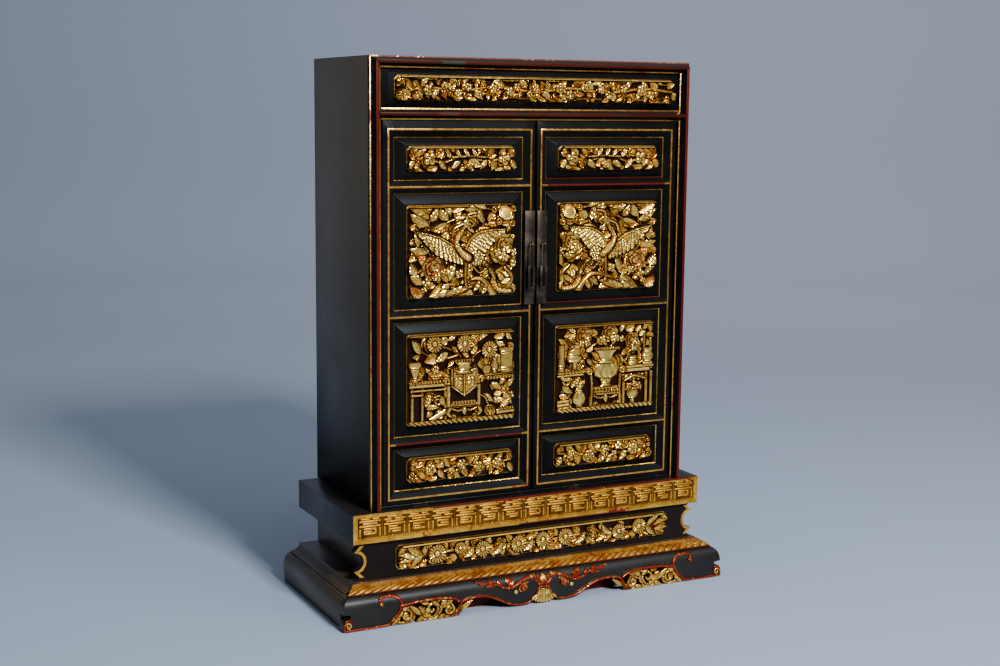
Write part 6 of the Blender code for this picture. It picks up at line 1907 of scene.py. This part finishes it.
# %% Apron carving
# The apron's places are in millimetres from the middle of the floor, because its edge is drawn in them.
LACQUERED = 2


def apron_block(width, height):
    """The raised work on the right half of the apron, from the middle to the foot."""
    block = blank_block(width, height, (1, 1))
    for points, widths in (((102, 12, 108, 5, 120, 2.4, 136, 3, 148, 6, 156, 14, 166, 20.5),
            (3.4, 3.6, 2.4)), ((172, 19, 160, 12, 158, 5, 166, 2, 177, 3.2, 181, 7), (2.6, 3.2, 2.4)),
            ((104, 16, 112, 20.5, 126, 21.6, 134, 19, 128, 15), (2.6, 2.6)),
            ((146, 21, 138, 22, 128, 20), (2.4, 2.4)), ((112, 1.6, 130, 1.2, 152, 2.4), (2.2, 2.4))):
        stem(block, points, widths, 3.6)
    for root, tip, broad in (((108, 4), (121, 15), 8.4), ((132, 5), (124, 16), 7), ((138, 3), (151, 16), 8),
            ((152, 17), (141, 7), 6.4), ((159, 15), (172, 20), 7), ((160, 3), (172, 9), 7),
            ((112, 20), (124, 12), 7), ((174, 10), (180, 3), 6)):
        leaf(block, root, tip, broad, 4, tilt=0.3, veins=3)
    for place, size, turn, hand in (((116, 9.4), 6.6, 2, 1), ((136.5, 12.6), 8.4, 4.4, -1),
            ((166, 9.4), 7, 1.2, 1)):
        scroll(block, place, size, 4.6, 3.4, turns=1.1, turn=turn, hand=hand)
    for root, tip, broad, level in (((150, 8), (163.5, 20.6), 6.4, 4.8), ((103.5, 6), (88, 16.6), 5.4, 4.8),
            ((126, 16), (118, 21.5), 6, 4.6), ((128, 15), (137, 22), 5, 4.4),
            ((120, 4), (130, 1.2), 5, 4.2), ((146, 5), (155, 1.4), 5.4, 4.2), ((108, 8), (104, 1), 5, 4.2),
            ((176, 6), (184, 1), 5, 4), ((170, 14), (176, 9), 4.4, 4), ((140, 19), (150, 21.6), 5, 4.2)):
        leaf(block, root, tip, broad, level, tilt=0.25, veins=3)
    disc(block, (141.5, 12), 3, 4.8, ring=False)
    disc(block, (168.5, 17.4), 3, 4.8, ring=False)
    disc(block, (166, 9.4), 2.2, 4.6)
    for points, widths in (((194.4, 25.4, 196, 30.5, 187.5, 32.6, 177, 31, 171.6, 23.5, 175.2, 14, 181.6,
            7.6, 186.4, 2.4), (2.8, 3.4, 2.8)), ((186.4, 2.2, 200, 1.4, 222, 1.4, 236.4, 1.5), (2.8, 2.8)),
            ((236.9, 1.5, 237, 7.5, 234.6, 12.2, 230, 12, 228.2, 8.4), (2.2, 2.2)), ((171.6, 20.8, 160, 22,
            150, 22.8, 128, 23.2, 112, 21, 104.4, 17.2, 101, 14.2), (2.8, 2.8)),
            ((101, 14.2, 103, 8.4, 106.5, 2.8, 113, 1.4), (2.4, 2)), ((101, 15.2, 92, 18, 80, 18.8, 68,
            16.9, 56, 11.6, 44, 5.6, 33, 3, 22, 3, 15, 5.4, 10, 11, 6.4, 18, 4.6, 22), (2.5, 2.5))):
        stem(block, points, widths, 5, red=LACQUERED)
    disc(block, (194.4, 25.2), 2.5, 5.6, ring=False, red=LACQUERED)
    for points in ((99, 17.6, 90, 20, 80, 20.8, 67, 18.8, 55, 13.6, 43, 7.6, 33, 5.2), (168, 24.2, 150,
            25.2, 128, 25.5, 111, 23.2, 104, 20)):
        stem(block, points, (0.55, 0.55), 0.9)
    scroll(block, (232.6, 6.6), 4, 5, 2.6, turns=1, turn=0.4, red=0.4)
    for points, widths, red in (((2, 26, 8, 30.6, 18.5, 31, 28, 28, 40, 23, 50, 24.4, 60, 29, 70, 31, 84,
            33.6), (3.8, 3.4, 1.4), 1.7), ((20, 26.5, 27, 25, 31, 20, 27, 17), (2.4, 2.4), 1)):
        stem(block, points, widths, 5.4, red=red)
    for root, tip, broad, red in (((38, 25), (47.5, 34), 8, LACQUERED),
            ((44, 24), (36, 31.5), 5, LACQUERED), ((53, 25), (57, 33), 4.6, LACQUERED),
            ((62, 29.5), (68, 34), 4.2, LACQUERED), ((60, 28), (72, 27.6), 4, LACQUERED),
            ((70, 31), (80, 30.8), 3.4, LACQUERED), ((16, 31), (9, 34), 4.4, 1.2),
            ((1.5, 26), (7.4, 32.6), 4.6, 0.6)):
        leaf(block, root, tip, broad, 5.2, tilt=0.2, veins=3, red=red)
    disc(block, (25, 21.4), 4, 5.8, ring=False, red=1.5)
    disc(block, (35.2, 17.8), 2.4, 5.4, ring=False)
    leaf(block, (1, 24), (8, 31), 7.4, 5.4, tilt=0.3, veins=3, red=1.3)
    leaf(block, (0, 22.5), (0, 34.1), 8.8, 6, veins=4, red=0.9)
    stem(block, (0, 23.4, 4.8, 22.8, 9.6, 27), (3.4, 3), 5.4, red=LACQUERED)
    for lean in (4, 3, 2, 1, 0):
        feather(block, (lean * 1.1, 10.5), (lean * 3.9, 0.9 + lean * lean * 0.33), 4.4,
            5.2 + 0.15 * (4 - lean), tilt=0.3)
    for lean in (2, 1, 0):
        feather(block, (lean * 0.8, 18.5), (lean * 3.6, 8.6 + lean * 0.9), 4.2, 5.8, tilt=0.3)
    stem(block, (0, 20, 4, 19.4, 6.6, 17), (2.4, 2.2), 5.8, red=LACQUERED)
    return block

# %% Apron's raised work
APRON_RELIEF = 2.1 * MM
APRON_PIERCED_DEPTH = 5.0 * MM
SUNK = 0.3 * MM


def raised_work(block, side):
    """The raised forms of one half of the apron as a shell that is open where nothing stands up."""
    rows, columns = block["h"].shape
    piece, column, row = grid_piece("apron_relief", columns, rows)
    if side < 0:
        column = columns - 1 - column
    heights = block["h"][row, column]
    rise = block["z"][row] * MM
    y = apron_face + shoulder(rise) + np.where(heights > 0, -heights / CREST * APRON_RELIEF, SUNK)
    shape_points(piece, side * block["x"][column] * MM, y, rise, painted(block)[row, column])
    select_faces(piece, lambda face: not any(heights[index] > 0 for index in face.vertices))
    bpy.ops.mesh.delete(type="FACE")
    turn_outwards()
    select_rim()
    bpy.ops.mesh.vertices_smooth(factor=0.5, repeat=2)
    extrude_rim(1, apron_face + APRON_PIERCED_DEPTH)
    bpy.ops.object.mode_set(mode="OBJECT")
    smooth_below(piece, 60)
    leave_dark(piece, lambda place: place.y > apron_face + APRON_PIERCED_DEPTH - HAIR)
    piece.data.materials.append(carved_gilding)
    return piece


half_apron = apron_block(apron_high.x / MM, apron_high.z / MM)
join_pieces(apron, [raised_work(half_apron, side) for side in (1, -1)])
stand_for(apron, "apron_front")
print("apron triangles:", triangles(apron))

# %% [markdown]
# ## Door hardware
#
# A plate, an eye and a hanging pull sit on the inner edge of each door. They are cast and filed bronze, so
# the solids only need their edges rounded and their dark skin.

# %% Door hardware
HARDWARE = {"plate": 0.3 * MM, "eye": 0.2 * MM, "pull": 0.3 * MM}
for side in ("left", "right"):
    for part, width in HARDWARE.items():
        dress(f"door_{side}_{part}", bronze, width)
print("pieces of hardware:", 2 * len(HARDWARE))
